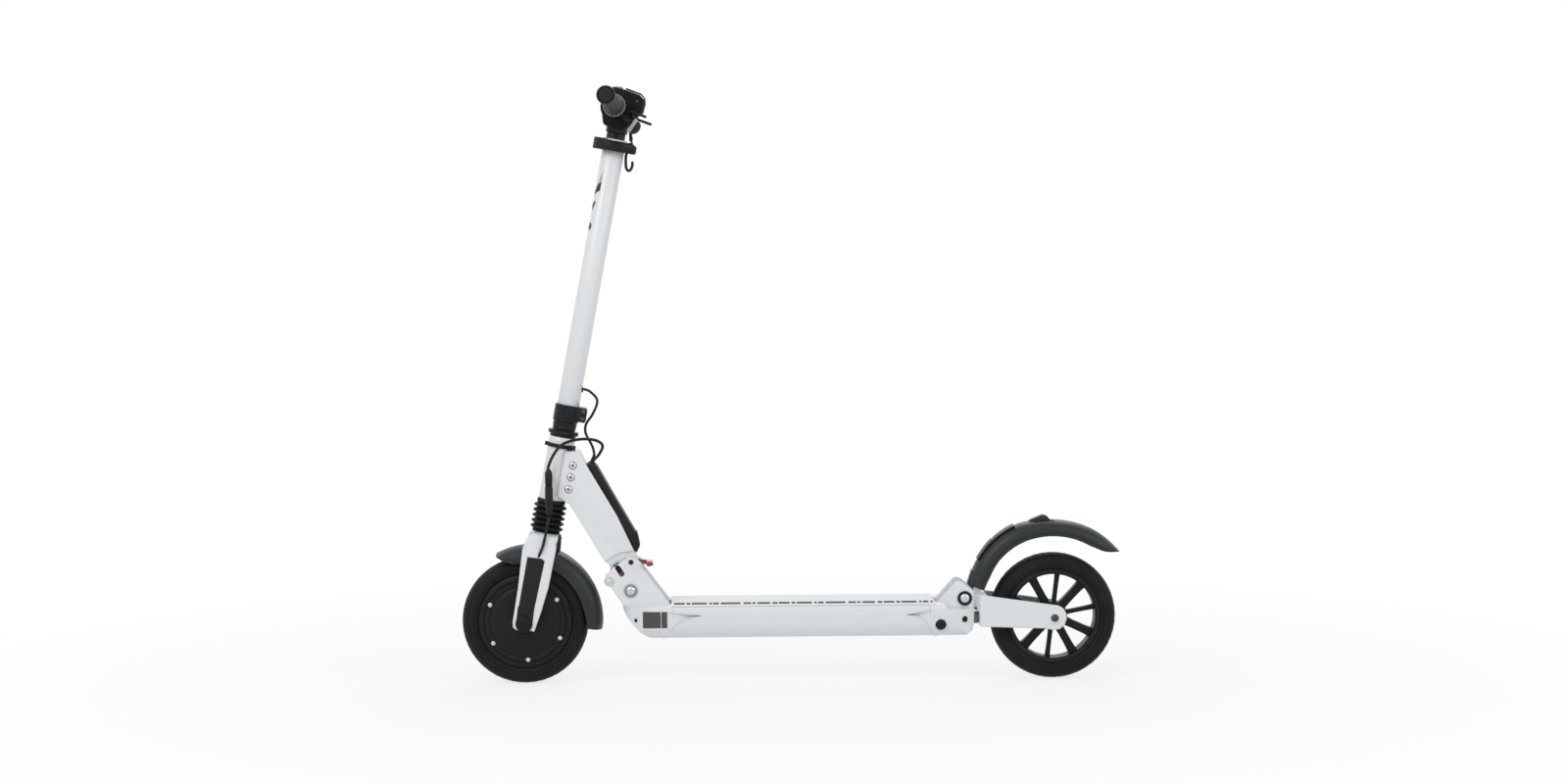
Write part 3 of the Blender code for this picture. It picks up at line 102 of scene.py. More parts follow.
TAIL_PIVOT = Vector((696.9, 0, 131.6))
FENDER_HINGE = Vector((717.0, 0, 143.5))
NODE_SLOT = {part["node"]: part["material_slot"] for part in frame["record"]["subparts"]}
NODE_BODY = {node: body for body, nodes in frame["record"]["behaviour"]["bodies"].items() for node in nodes}

Colour = tuple[float, float, float]
Profile = Sequence[tuple[float, float]]


def steer(aft: float, up: float, y: float = 0.0) -> Vector:
    """Place a point behind the steering line, up along it from the front axle's level, and to the right."""
    return STEER_BASE + STEER_UP * up + STEER_AFT * aft + Y * y


def around(centre: Vector, radius: float, degrees: float, y: float = 0.0) -> Vector:
    """Place a point on an upright circle, at an angle from straight back that turns upwards."""
    angle = math.radians(degrees)
    return centre + X * (radius * math.cos(angle)) + Z * (radius * math.sin(angle)) + Y * y


def corners(centre: Vector, *pairs: tuple[float, float]) -> list[Vector]:
    """Place the corners of an upright outline, given as x and z from a centre."""
    return [centre + X * x + Z * z for x, z in pairs]


def steered(base: float, *places: tuple[float, ...]) -> list[Vector]:
    """Place points in the steering frame: behind its line, over a base and, if given, to the right."""
    return [steer(aft, base + up, *right) for aft, up, *right in places]


def across(*pairs: tuple[float, float]) -> list[Vector]:
    """Place points round the steering line: distances behind it and to the right."""
    return [steer(aft, 0, right) for aft, right in pairs]


def both_ends(half: Profile) -> Profile:
    """Follow half a section by its mirror image."""
    return [*half, *((r, -h) for r, h in reversed(half))]


def bolt(reach: float, head: Profile, shank: Profile = ()) -> Profile:
    """Return a section with the same head at both ends, whose heights count out from its seats."""
    return both_ends([*((r, -reach - h) for r, h in head), *shank])


def ladder(table: Sequence[tuple[float, float]], at: float) -> float:
    """Read a value off a table by straight interpolation.

    Args:
        table: Pairs of position and value, in rising order of position.
        at: The position wanted.

    Returns:
        The value there, held level past both ends.
    """
    if at <= table[0][0]:
        return table[0][1]
    for (low, a), (high, b) in zip(table, table[1:]):
        if at <= high:
            return a + (b - a) * (at - low) / (high - low)
    return table[-1][1]


class Graph:
    """The shader nodes of one material."""

    def __init__(self, name: str) -> None:
        """Start an empty material.

        Args:
            name: The material's name.
        """
        self.material = bpy.data.materials.new(name)
        self.material.use_nodes = True
        self.tree = self.material.node_tree
        self.shader = self.tree.nodes["Principled BSDF"]
        self.place = self.add("ShaderNodeTexCoord").outputs["Object"]

    def add(self, kind: str, **settings: object) -> bpy.types.Node:
        """Add a node.

        Args:
            kind: The node's type.
            **settings: Its properties; a name that is an input's name sets that input.

        Returns:
            The new node.
        """
        node = self.tree.nodes.new(kind)
        for name, value in settings.items():
            label = name.replace("_", " ").title()
            if label in node.inputs:
                self.feed(node.inputs[label], value)
            else:
                setattr(node, name, value)
        return node

    def feed(self, socket: bpy.types.NodeSocket, value: object) -> None:
        """Link an output to a socket, or set the socket's own value."""
        if isinstance(value, bpy.types.NodeSocket):
            self.tree.links.new(value, socket)
        else:
            socket.default_value = value

    def noise(self, size_mm: float, detail: float = 3.0, stretch: Colour = (1, 1, 1)) -> bpy.types.NodeSocket:
        """Add a cloudy pattern.

        Args:
            size_mm: Size of its features.
            detail: Number of finer layers.
            stretch: How much finer it is along each axis.

        Returns:
            Its value.
        """
        place = self.add("ShaderNodeMapping", vector=self.place, scale=stretch).outputs["Vector"]
        noise = self.add("ShaderNodeTexNoise", vector=place, scale=1000 / size_mm, detail=detail)
        return noise.outputs["Fac"]

    def cells(self, size_mm: float, feature: str = "F1") -> bpy.types.NodeSocket:
        """Add a pattern of cells and return the distance inside each one."""
        node = self.add("ShaderNodeTexVoronoi", feature=feature, vector=self.place, scale=1000 / size_mm)
        return node.outputs["Distance"]

    def span(self, value: object, low: float, high: float, to_low: float,
             to_high: float) -> bpy.types.NodeSocket:
        """Map a value from one range to another, clamped."""
        node = self.add("ShaderNodeMapRange", value=value)
        for label, number in (("From Min", low), ("From Max", high), ("To Min", to_low), ("To Max", to_high)):
            node.inputs[label].default_value = number
        return node.outputs["Result"]

    def mix(self, share: object, first: object, second: object) -> bpy.types.NodeSocket:
        """Mix two colours by a share."""
        node = self.tree.nodes.new("ShaderNodeMix")
        node.data_type = "RGBA"
        for socket, value in zip((node.inputs[0], node.inputs[6], node.inputs[7]), (share, first, second)):
            self.feed(socket, (*value, 1.0) if isinstance(value, tuple) else value)
        return node.outputs[2]

    def maths(self, operation: str, first: object, second: object = 0.0) -> bpy.types.NodeSocket:
        """Work out one number from two."""
        node = self.add("ShaderNodeMath", operation=operation)
        self.feed(node.inputs[0], first)
        self.feed(node.inputs[1], second)
        return node.outputs[0]

    def bump(self, height: object, depth_mm: float, under: object = None) -> bpy.types.NodeSocket:
        """Raise the surface by a height pattern.

        Args:
            height: The pattern, from 0 to 1.
            depth_mm: How far it stands out.
            under: A normal that it adds to.

        Returns:
            The new normal.
        """
        node = self.add("ShaderNodeBump", height=height, distance=depth_mm * MM, strength=1.0)
        if under is not None:
            self.feed(node.inputs["Normal"], under)
        return node.outputs["Normal"]


@dataclass(frozen=True)
class Finish:
    """A surface finish, with a fine grain, cloudy colour and edges that catch wear.

    Attributes:
        name: Name of its material.
        colour: Base colour.
        roughness: Middle roughness.
        metallic: 1 for bare metal.
        coat: Weight of the clear coat.
        grain: Size of the grain, in millimetres.
        depth: Its depth, in millimetres.
        mottle: How far the colour wanders.
        stretch: How much finer the grain is along each axis.
        wear: Colour that edges are rubbed to.
        wear_share: How strongly edges are rubbed.
        specular: Level of its reflection.
    """

    name: str
    colour: Colour
    roughness: float
    metallic: float = 0.0
    coat: float = 0.0
    grain: float = 0.8
    depth: float = 0.01
    mottle: float = 0.06
    stretch: Colour = (1, 1, 1)
    wear: Colour = (0.3, 0.3, 0.3)
    wear_share: float = 0.0
    specular: float = 0.5

    def shade(self, value: float) -> Colour:
        """Return the base colour made lighter or darker."""
        return tuple(min(1.0, part * value) for part in self.colour)

    def surface(self, graph: Graph) -> tuple[object, object, object]:
        """Work out colour, roughness and normal.

        Args:
            graph: The material's nodes.

        Returns:
            The three outputs.
        """
        cloud = graph.noise(45, 4)
        colour = graph.mix(graph.span(cloud, 0.3, 0.7, 0, 1), self.shade(1 - self.mottle),
                           self.shade(1 + self.mottle))
        if self.wear_share:
            edge = graph.add("ShaderNodeNewGeometry").outputs["Pointiness"]
            rubbed = graph.span(edge, 0.52, 0.6, 0, self.wear_share)
            rubbed = graph.maths("MULTIPLY", rubbed, graph.span(graph.noise(6, 5), 0.42, 0.62, 0, 1))
            colour = graph.mix(rubbed, colour, self.wear)
        rough = graph.span(graph.noise(9, 4), 0.3, 0.7, self.roughness * 0.85, self.roughness * 1.18)
        normal = graph.bump(graph.noise(self.grain, 4, self.stretch), self.depth)
        return colour, rough, normal

    def material(self) -> bpy.types.Material:
        """Return the finish's material, made the first time."""
        found = bpy.data.materials.get(self.name)
        if found:
            return found
        graph = Graph(self.name)
        sockets = graph.shader.inputs
        colour, rough, normal = self.surface(graph)
        graph.feed(sockets["Base Color"], colour)
        graph.feed(sockets["Roughness"], rough)
        graph.feed(sockets["Normal"], normal)
        sockets["Metallic"].default_value = self.metallic
        sockets["Specular IOR Level"].default_value = self.specular
        sockets["Coat Weight"].default_value = self.coat
        sockets["Coat Roughness"].default_value = 0.08
        graph.material.diffuse_color = (*self.colour, 1.0)
        return graph.material


@dataclass(frozen=True)
class Grit(Finish):
    """A bonded grit sheet: sharp grains, a speckled colour and a trodden middle."""

    def surface(self, graph: Graph) -> tuple[object, object, object]:
        """Work out colour, roughness and normal from cells and clouds."""
        grains = graph.cells(self.grain)
        speck = graph.span(graph.noise(self.grain * 1.7, 2), 0.35, 0.65, 0, 1)
        colour = graph.mix(speck, self.shade(1 - self.mottle), self.shade(1 + self.mottle))
        trodden = graph.span(graph.noise(90, 5), 0.45, 0.75, 0, 0.35)
        colour = graph.mix(trodden, colour, self.wear)
        normal = graph.bump(graph.noise(self.grain * 3, 2), self.depth)
        return colour, self.roughness, graph.bump(grains, self.depth, normal)


@dataclass(frozen=True)
class Moulded(Finish):
    """Spark-textured plastic or rubber: a pebbled skin with faint flow clouds and settled dust."""

    def surface(self, graph: Graph) -> tuple[object, object, object]:
        """Work out colour, roughness and normal from a pebbled skin."""
        colour, _, _ = super().surface(graph)
        dust = graph.span(graph.noise(24, 6), 0.5, 0.8, 0, 0.22)
        colour = graph.mix(dust, colour, self.wear)
        pebbles = graph.cells(self.grain, "SMOOTH_F1")
        rough = graph.span(pebbles, 0.0, 0.7, self.roughness * 0.88, self.roughness * 1.15)
        return colour, rough, graph.bump(pebbles, self.depth)


@dataclass(frozen=True)
class Brushed(Finish):
    """Turned or brushed metal, with long fine scratches over its grain."""

    def surface(self, graph: Graph) -> tuple[object, object, object]:
        """Work out colour, roughness and normal with scratches laid on top."""
        colour, _, normal = super().surface(graph)
        scratches = graph.noise(0.35, 2, (0.06, 1, 1))
        rough = graph.span(scratches, 0.3, 0.7, self.roughness * 0.75, self.roughness * 1.3)
        return colour, rough, graph.bump(scratches, 0.002, normal)


class Look(Enum):
    """The finishes on this scooter."""

    WHITE_PAINT = Finish("white_enamel", (0.82, 0.845, 0.865), 0.34, coat=0.2, grain=1.6, depth=0.004,
                         mottle=0.006)
    BLACK_METAL = Finish("black_anodised", (0.008, 0.009, 0.011), 0.33, grain=0.5, depth=0.008,
                         mottle=0.12, wear=(0.08, 0.08, 0.09), wear_share=0.2, specular=0.2)
    HUB_BLACK = Finish("hub_black_enamel", (0.009, 0.011, 0.013), 0.38, grain=0.9, depth=0.012,
                       mottle=0.15, wear=(0.06, 0.06, 0.07), wear_share=0.25, specular=0.16)
    STEEL = Brushed("bright_zinc_steel", (0.62, 0.62, 0.63), 0.26, metallic=1.0, grain=0.7,
                    depth=0.002, mottle=0.06)
    DARK_STEEL = Brushed("blackened_steel", (0.08, 0.08, 0.085), 0.34, metallic=0.9, grain=0.6, mottle=0.15)
    CHROME = Finish("bell_chrome", (0.74, 0.75, 0.77), 0.07, metallic=1.0, grain=4, depth=0.004,
                    mottle=0.03)
    TYRE = Moulded("solid_tyre_rubber", (0.010, 0.012, 0.012), 0.6, grain=0.7, depth=0.05,
                   mottle=0.2, wear=(0.035, 0.035, 0.033), specular=0.14)
    RUBBER = Moulded("soft_black_rubber", (0.010, 0.0105, 0.011), 0.5, grain=0.5, depth=0.03,
                     mottle=0.15, wear=(0.035, 0.035, 0.035), specular=0.18)
    CABLE = Moulded("cable_jacket", (0.009, 0.009, 0.010), 0.42, grain=0.4, depth=0.02, mottle=0.1,
                    wear=(0.03, 0.03, 0.03), specular=0.25)
    FENDER = Moulded("fender_plastic", (0.020, 0.024, 0.026), 0.40, grain=0.45, depth=0.018,
                     mottle=0.1, wear=(0.035, 0.04, 0.043), specular=0.3)
    CASE = Moulded("case_plastic", (0.012, 0.013, 0.015), 0.46, grain=0.6, depth=0.03, mottle=0.1,
                   wear=(0.035, 0.037, 0.04), specular=0.2)
    GLOSS_CASE = Moulded("cockpit_plastic", (0.007, 0.007, 0.008), 0.48, grain=0.5, depth=0.012,
                         mottle=0.12, wear=(0.02, 0.02, 0.022), specular=0.12)
    GREY_PLASTIC = Moulded("grey_plastic", (0.045, 0.047, 0.05), 0.5, grain=0.5, depth=0.02,
                           wear=(0.08, 0.08, 0.08), specular=0.3)
    GRIT = Grit("grit_sheet", (0.89, 0.905, 0.92), 0.9, grain=0.9, depth=0.1, mottle=0.06,
                wear=(0.84, 0.85, 0.86))
    RED_PAINT = Finish("red_enamel", (0.26, 0.012, 0.022), 0.25, coat=0.5, grain=1.2, depth=0.006,
                       wear=(0.4, 0.25, 0.25), wear_share=0.2)
    GLASS = Finish("smoked_display_cover", (0.018, 0.02, 0.022), 0.16, coat=0.1, specular=0.3, grain=8,
                   depth=0.003, mottle=0.05)
    PRINT = Finish("grey_print", (0.075, 0.08, 0.085), 0.75, grain=0.4, mottle=0.18, specular=0.1)
    PALE_PRINT = Finish("pale_print", (0.42, 0.43, 0.44), 0.5, grain=0.4, mottle=0.12)
    DARK_PRINT = Finish("dark_print", (0.022, 0.023, 0.026), 0.35, grain=0.4, mottle=0.18)
    COPPER = Brushed("copper_winding", (0.45, 0.19, 0.08), 0.35, metallic=1.0, grain=0.4)
    WRAP = Finish("battery_wrap", (0.05, 0.12, 0.3), 0.4, grain=2.0, depth=0.05)
    ELASTOMER = Moulded("buffer_elastomer", (0.30, 0.26, 0.24), 0.6, grain=0.5, depth=0.03,
                        wear=(0.32, 0.29, 0.27))
    GREY_METAL = Brushed("grey_anodised", (0.20, 0.20, 0.21), 0.42, metallic=0.7, grain=0.6, mottle=0.12)
    PALE_METAL = Brushed("pale_anodised", (0.36, 0.36, 0.37), 0.4, metallic=0.7, grain=0.6, mottle=0.08)
    BRASS = Brushed("yellowed_zinc", (0.6, 0.58, 0.52), 0.4, metallic=0.6, grain=0.6, mottle=0.08)
    RUST_STEEL = Brushed("browned_steel", (0.10, 0.055, 0.045), 0.45, metallic=0.6, grain=0.8, mottle=0.25)
    PLATE = Finish("bare_plate", (0.055, 0.058, 0.062), 0.45, grain=0.5, depth=0.01, mottle=0.15)
    BEARING = Brushed("bearing_steel", (0.5, 0.5, 0.52), 0.22, metallic=1.0, grain=0.5)


def placed(name: str, data: object) -> bpy.types.Object:
    """Make an object for its data and put it in the scene."""
    made = bpy.data.objects.new(name, data)
    bpy.context.scene.collection.objects.link(made)
    return made


def outside_of(node: str) -> BVHTree:
    """Return a CAD node's surface for probing, in the scooter's millimetres."""
    mesh = frame["nodes"][node].data
    points = [vert.co / MM + X * MIDDLE_X for vert in mesh.vertices]
    return BVHTree.FromPolygons(points, [tuple(face.vertices) for face in mesh.polygons])


def on_side(node: str, x: float, z: float, side: int) -> tuple[Vector, Vector]:
    """Find the place at x and z on one side of a CAD node, and the outward direction there."""
    place, out, _, _ = outside_of(node).ray_cast(Vector((x, side * 300, z)), Y * -side)
    return place, out if out.y * side > 0 else -out


def smooth_path(points: Sequence[Vector], spacing: float) -> list[Vector]:
    """Round a route off into evenly spaced points.

    Args:
        points: Points that the route passes.
        spacing: Distance between the new points.

    Returns:
        The new points.
    """
    ends = [points[0] * 2 - points[1], *points, points[-1] * 2 - points[-2]]
    dense = [points[0]]
    for a, b, c, d in zip(ends, ends[1:], ends[2:], ends[3:]):
        for i in range(1, 25):
            t = i / 24
            dense.append((b * 2 + (c - a) * t + (a * 2 - b * 5 + c * 4 - d) * t * t
                          + (b * 3 - a - c * 3 + d) * t ** 3) / 2)
    total = sum((b - a).length for a, b in zip(dense, dense[1:]))
    step = total / max(1, round(total / spacing))
    route, left = [dense[0]], step
    for a, b in zip(dense, dense[1:]):
        gap = (b - a).length
        while gap > left and gap > 0:
            a = a + (b - a) * (left / gap)
            gap, left = gap - left, step
            route.append(a)
        left -= gap
    if (route[-1] - dense[-1]).length > step * 0.5:
        route.append(dense[-1])
    route[-1] = dense[-1]
    return route


class Shape:
    """One piece's mesh in the making, in the scooter's millimetres."""

    def __init__(self) -> None:
        """Start an empty mesh."""
        self.bm = bmesh.new()

    def lathe(self, profile: Profile, centre: Vector, axis: Vector = Y, steps: int = 64) -> "Shape":
        """Spin a section a full turn.

        Args:
            profile: Pairs of radius and height; it is closed when neither end lies on the axis.
            centre: Where height is 0.
            axis: Direction of the axis.
            steps: Steps in the turn.

        Returns:
            The shape itself.
        """
        axis = axis.normalized()
        start = X if abs(axis.x) < 0.9 else Z
        side = (start - axis * start.dot(axis)).normalized()
        verts = [self.bm.verts.new(centre + side * r + axis * h) for r, h in profile]
        edges = [self.bm.edges.new(pair) for pair in zip(verts, verts[1:])]
        if min(profile[0][0], profile[-1][0]) > 1e-6:
            edges.append(self.bm.edges.new((verts[-1], verts[0])))
        bmesh.ops.spin(self.bm, geom=verts + edges, cent=centre, axis=axis, dvec=(0, 0, 0), angle=math.tau,
                       steps=steps, use_merge=True, use_duplicate=False)
        return self

    def prism(self, outline: Iterable[Vector], low: float, high: float, along: Vector = Y, soft: float = 0.0,
              segments: int = 2) -> "Shape":
        """Push a flat outline along a direction.

        Args:
            outline: Its corners.
            low: Where it starts.
            high: Where it ends.
            along: Direction of the push.
            soft: Width of the rounding on its edges.
            segments: Steps in the rounding.

        Returns:
            The shape itself.
        """
        face = self.bm.faces.new([self.bm.verts.new(point + along * low) for point in outline])
        made = bmesh.ops.extrude_face_region(self.bm, geom=[face])["geom"]
        moved = [item for item in made if isinstance(item, bmesh.types.BMVert)]
        bmesh.ops.translate(self.bm, verts=moved, vec=along * (high - low))
        if soft:
            faces = {f for v in moved for f in v.link_faces} | {face}
            edges = list({edge for f in faces for edge in f.edges})
            bmesh.ops.recalc_face_normals(self.bm, faces=list(faces))
            edges = [edge for edge in edges if edge.calc_face_angle(0) > math.radians(25)]
            bmesh.ops.bevel(self.bm, geom=edges, offset=soft, affect="EDGES", segments=segments, profile=0.5,
                            material=-1, clamp_overlap=True)
        return self

    def twins(self, outline: Sequence[Vector], near: float, far: float, **settings: float) -> "Shape":
        """Push an outline on both sides, between two distances from the middle."""
        for side in SIDES:
            self.prism(outline, *sorted((side * near, side * far)), **settings)
        return self

    def caps(self, profile: Profile, centre: Vector, reach: float, steps: int = 72) -> "Shape":
        """Spin a section outwards on both sides, at a distance from the middle."""
        for side in SIDES:
            self.lathe(profile, centre + Y * side * reach, Y * side, steps)
        return self

    def post(self, profile: Profile) -> "Shape":
        """Spin a section round the steering line."""
        return self.lathe(profile, STEER_BASE, STEER_UP, 96)

    def socket_head(self, centre: Vector, axis: Vector, radius: float, height: float, socket: float,
                    dome: float = 0.5) -> "Shape":
        """Add a screw head with a hexagon socket.

        Args:
            centre: Middle of its seat.
            axis: Outward direction.
            radius: Radius of the head.
            height: Height of the head.
            socket: Radius of the socket's corners.
            dome: Share of the height that is rounded off.

        Returns:
            The shape itself.
        """
        rim = height * (1 - dome)
        crown = [(radius * math.cos(a), rim + height * dome * math.sin(a)) for a in (0.0, 0.4, 0.8, 1.15)]
        lip = max(socket * 0.98, crown[-1][0] * 0.7)
        self.lathe([(socket * 0.8, 0), (radius, 0), *crown, (lip, height), (socket * 0.98, height),
                    (socket * 0.8, height * 0.45)], centre, axis, 32)
        self.lathe([(0, height * 0.3), (socket * 0.86, height * 0.3), (socket * 0.86, height * 0.92),
                    (socket * 1.08, height * 0.92), (socket * 1.08, height * 0.05), (0, height * 0.05)],
                   centre, axis, 6)
        return self

    def washer(self, centre: Vector, axis: Vector, inner: float, outer: float, thick: float) -> "Shape":
        """Add a flat ring with a soft rim."""
        soft = min(0.3, thick / 3)
        return self.lathe([(inner, 0), (outer, 0), (outer, thick - soft), (outer - soft, thick),
                           (inner, thick)], centre, axis, 48)

    def tube(self, route: Sequence[Vector], radius: float, sides: int = 12) -> "Shape":
        """Sweep a round section along a route.

        Args:
            route: Points on its middle line.
            radius: Radius of the section.
            sides: Sides of the section.

        Returns:
            The shape itself.
        """
        data = bpy.data.curves.new("route", "CURVE")
        data.dimensions = "3D"
        data.bevel_depth = radius
        data.bevel_resolution = max(1, sides // 4 - 1)
        data.use_fill_caps = True
        spline = data.splines.new("POLY")
        spline.points.add(len(route) - 1)
        for target, point in zip(spline.points, route):
            target.co = (*point, 1.0)
        holder = bpy.data.objects.new("route", data)
        mesh = bpy.data.meshes.new_from_object(holder)
        self.bm.from_mesh(mesh)
        for block, store in ((holder, bpy.data.objects), (data, bpy.data.curves), (mesh, bpy.data.meshes)):
            store.remove(block)
        return self

    def sheet(self, across: tuple[float, float], up: tuple[float, float], thick: float, columns: int,
              rows: int) -> "Shape":
        """Add a thin upright sheet, finely divided so that it can be draped.

        Args:
            across: Its ends in x.
            up: Its ends in z.
            thick: Its thickness, along y.
            columns: Divisions in x.
            rows: Divisions in z.

        Returns:
            The shape itself.
        """
        middle = Vector((sum(across) / 2, 0, sum(up) / 2))
        size = Matrix.Diagonal((across[1] - across[0], 1, up[1] - up[0], 1))
        place = Matrix.Translation(middle) @ size @ Matrix.Rotation(math.radians(90), 4, "X")
        made = bmesh.ops.create_grid(self.bm, x_segments=columns, y_segments=rows, size=0.5, matrix=place)
        faces = list({face for vert in made["verts"] for face in vert.link_faces})
        new = bmesh.ops.extrude_face_region(self.bm, geom=faces)["geom"]
        moved = [item for item in new if isinstance(item, bmesh.types.BMVert)]
        bmesh.ops.translate(self.bm, verts=moved, vec=Y * thick)
        return self

    def drape(self, node: str, side: int) -> "Shape":
        """Lay the shape on the side of a CAD node; y becomes the height over its surface.

        Args:
            node: The node.
            side: -1 for the rider's left.

        Returns:
            The shape itself.
        """
        tree = outside_of(node)
        for vert in self.bm.verts:
            hit = tree.ray_cast(Vector((vert.co.x, side * 300, vert.co.z)), Y * -side)[0]
            vert.co.y = hit.y + side * vert.co.y
        return self

    def warp(self, move: Callable[[Vector], Vector]) -> "Shape":
        """Move every point by a rule."""
        for vert in self.bm.verts:
            vert.co = move(vert.co)
        return self

    def arc(self, section: Profile, centre: Vector, start: float, end: float, steps: int) -> "Shape":
        """Sweep a closed section round part of an upright circle.

        Args:
            section: Pairs of radius and y.
            centre: Middle of the circle.
            start: First angle, as in around().
            end: Last angle, larger than the first.
            steps: Steps between them.

        Returns:
            The shape itself.
        """
        verts = [self.bm.verts.new(around(centre, r, start, y)) for r, y in section]
        edges = [self.bm.edges.new(pair) for pair in zip(verts, verts[1:] + verts[:1])]
        made = bmesh.ops.spin(self.bm, geom=verts + edges, cent=centre, axis=-Y, dvec=(0, 0, 0), steps=steps,
                              angle=math.radians(end - start), use_merge=False, use_duplicate=False)
        last = [item for item in made["geom_last"] if isinstance(item, bmesh.types.BMEdge)]
        bmesh.ops.edgeloop_fill(self.bm, edges=edges)
        bmesh.ops.edgeloop_fill(self.bm, edges=last)
        return self

    def node(self, name: str) -> "Shape":
        """Add a copy of a CAD node, with its flat faces made whole again.

        Args:
            name: The node.

        Returns:
            The shape itself.
        """
        extra = bmesh.new()
        extra.from_mesh(frame["nodes"][name].data)
        bmesh.ops.scale(extra, verts=extra.verts, vec=(1 / MM, 1 / MM, 1 / MM))
        bmesh.ops.translate(extra, verts=extra.verts, vec=X * MIDDLE_X)
        bmesh.ops.remove_doubles(extra, verts=extra.verts, dist=0.02)
        bmesh.ops.dissolve_degenerate(extra, edges=extra.edges, dist=0.001)
        bmesh.ops.dissolve_limit(extra, angle_limit=math.radians(1), verts=extra.verts, edges=extra.edges)
        mesh = bpy.data.meshes.new(name)
        extra.to_mesh(mesh)
        extra.free()
        self.bm.from_mesh(mesh)
        bpy.data.meshes.remove(mesh)
        return self

    def mesh(self, name: str, merge: float = 2e-3) -> bpy.types.Mesh:
        """Clean the shape up and hand it over, still in millimetres.

        Args:
            name: The mesh's name.
            merge: Distance at which points are merged.

        Returns:
            The new mesh.
        """
        bmesh.ops.remove_doubles(self.bm, verts=self.bm.verts, dist=merge)
        bmesh.ops.dissolve_degenerate(self.bm, edges=self.bm.edges, dist=1e-5)
        bmesh.ops.recalc_face_normals(self.bm, faces=self.bm.faces)
        mesh = bpy.data.meshes.new(name)
        self.bm.to_mesh(mesh)
        self.bm.free()
        return mesh

    def join(self, other: "Shape") -> "Shape":
        """Add another shape's mesh, which uses it up."""
        mesh = other.mesh("joining")
        self.bm.from_mesh(mesh)
        bpy.data.meshes.remove(mesh)
        return self

    def carve(self, cutter: "Shape", operation: str = "DIFFERENCE") -> "Shape":
        """Cut another shape out of this one.

        Args:
            cutter: The shape to cut away.
            operation: The boolean's operation, to keep what lies inside instead.

        Returns:
            The shape itself.
        """
        pair = [placed("carving", shape.mesh("carving")) for shape in (self, cutter)]
        tool = pair[0].modifiers.new("carving", "BOOLEAN")
        tool.operation = operation
        tool.solver = "EXACT"
        tool.object = pair[1]
        mesh = bpy.data.meshes.new_from_object(pair[0].evaluated_get(bpy.context.evaluated_depsgraph_get()))
        self.bm = bmesh.new()
        self.bm.from_mesh(mesh)
        for block in (mesh, *(holder.data for holder in pair)):
            bpy.data.meshes.remove(block)
        return self

    def piece(self, name: str, body: str, look: Look, slot: str, replaces: Sequence[str] = (),
              smooth: float = 30.0, soft: float = 0.0, segments: int = 2,
              merge: float = 2e-3) -> bpy.types.Object:
        """Finish the mesh as a piece that rides on a body.

        Args:
            name: The piece's name.
            body: The body that it rides on, or nothing when it is blended later.
            look: Its finish.
            slot: The record's material slot.
            replaces: The CAD nodes that it stands for.
            smooth: Largest angle that is still shaded smooth, in degrees.
            soft: Width of the rounding on its sharp edges.
            segments: Steps in the rounding.
            merge: Distance at which points are merged.

        Returns:
            The new object.
        """
        mesh = self.mesh(name, merge)
        mesh.transform(Matrix.Scale(MM, 4) @ Matrix.Translation(-X * MIDDLE_X))
        mesh.polygons.foreach_set("use_smooth", [True] * len(mesh.polygons))
        mesh.set_sharp_from_angle(angle=math.radians(smooth))
        obj = placed(name, mesh)
        mesh.materials.append(look.value.material())
        if body:
            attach(obj, body)
        if replaces:
            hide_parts(*replaces)
        if soft:
            rounding = obj.modifiers.new("rounding", "BEVEL")
            rounding.width = soft * MM
            rounding.segments = segments
            rounding.limit_method = "ANGLE"
            rounding.angle_limit = math.radians(35)
            rounding.harden_normals = True
            rounding.use_clamp_overlap = True
        LOG.info("%s rides on %s: %d faces", name, body or "two bodies", len(mesh.polygons))
        return obj


def skin(node: str, look: Look, soft: float = 0.5, segments: int = 2) -> bpy.types.Object:
    """Stand a copy with softened edges in for a CAD node."""
    return Shape().node(node).piece(node + "_skin", NODE_BODY[node], look, NODE_SLOT[node], (node,), 35.0,
                                    soft, segments)


def stand_in(shape: Shape, node: str, look: Look, **settings: float) -> bpy.types.Object:
    """Finish a shape as the piece that stands for one CAD node, with more of piece()'s settings."""
    return shape.piece(node + "_form", NODE_BODY[node], look, NODE_SLOT[node], (node,), **settings)


def screw_set(name: str, body: str, look: Look, slot: str, seats: Iterable[tuple[Vector, Vector]],
              *size: float) -> None:
    """Set alike screws in their seats.

    Args:
        name: The piece's name.
        body: The body that they ride on.
        look: Their finish.
        slot: The record's material slot.
        seats: Places, each with its outward direction.
        *size: The rest of socket_head()'s arguments.
    """
    shape = Shape()
    for at, out in seats:
        shape.socket_head(at, out, *size)
    shape.piece(name, body, look, slot)


def both_sides(*places: Vector, reach: float) -> list[tuple[Vector, Vector]]:
    """Return seats on both sides of places in the middle, with their outward directions."""
    return [(place + Y * side * reach, Y * side) for place in places for side in SIDES]


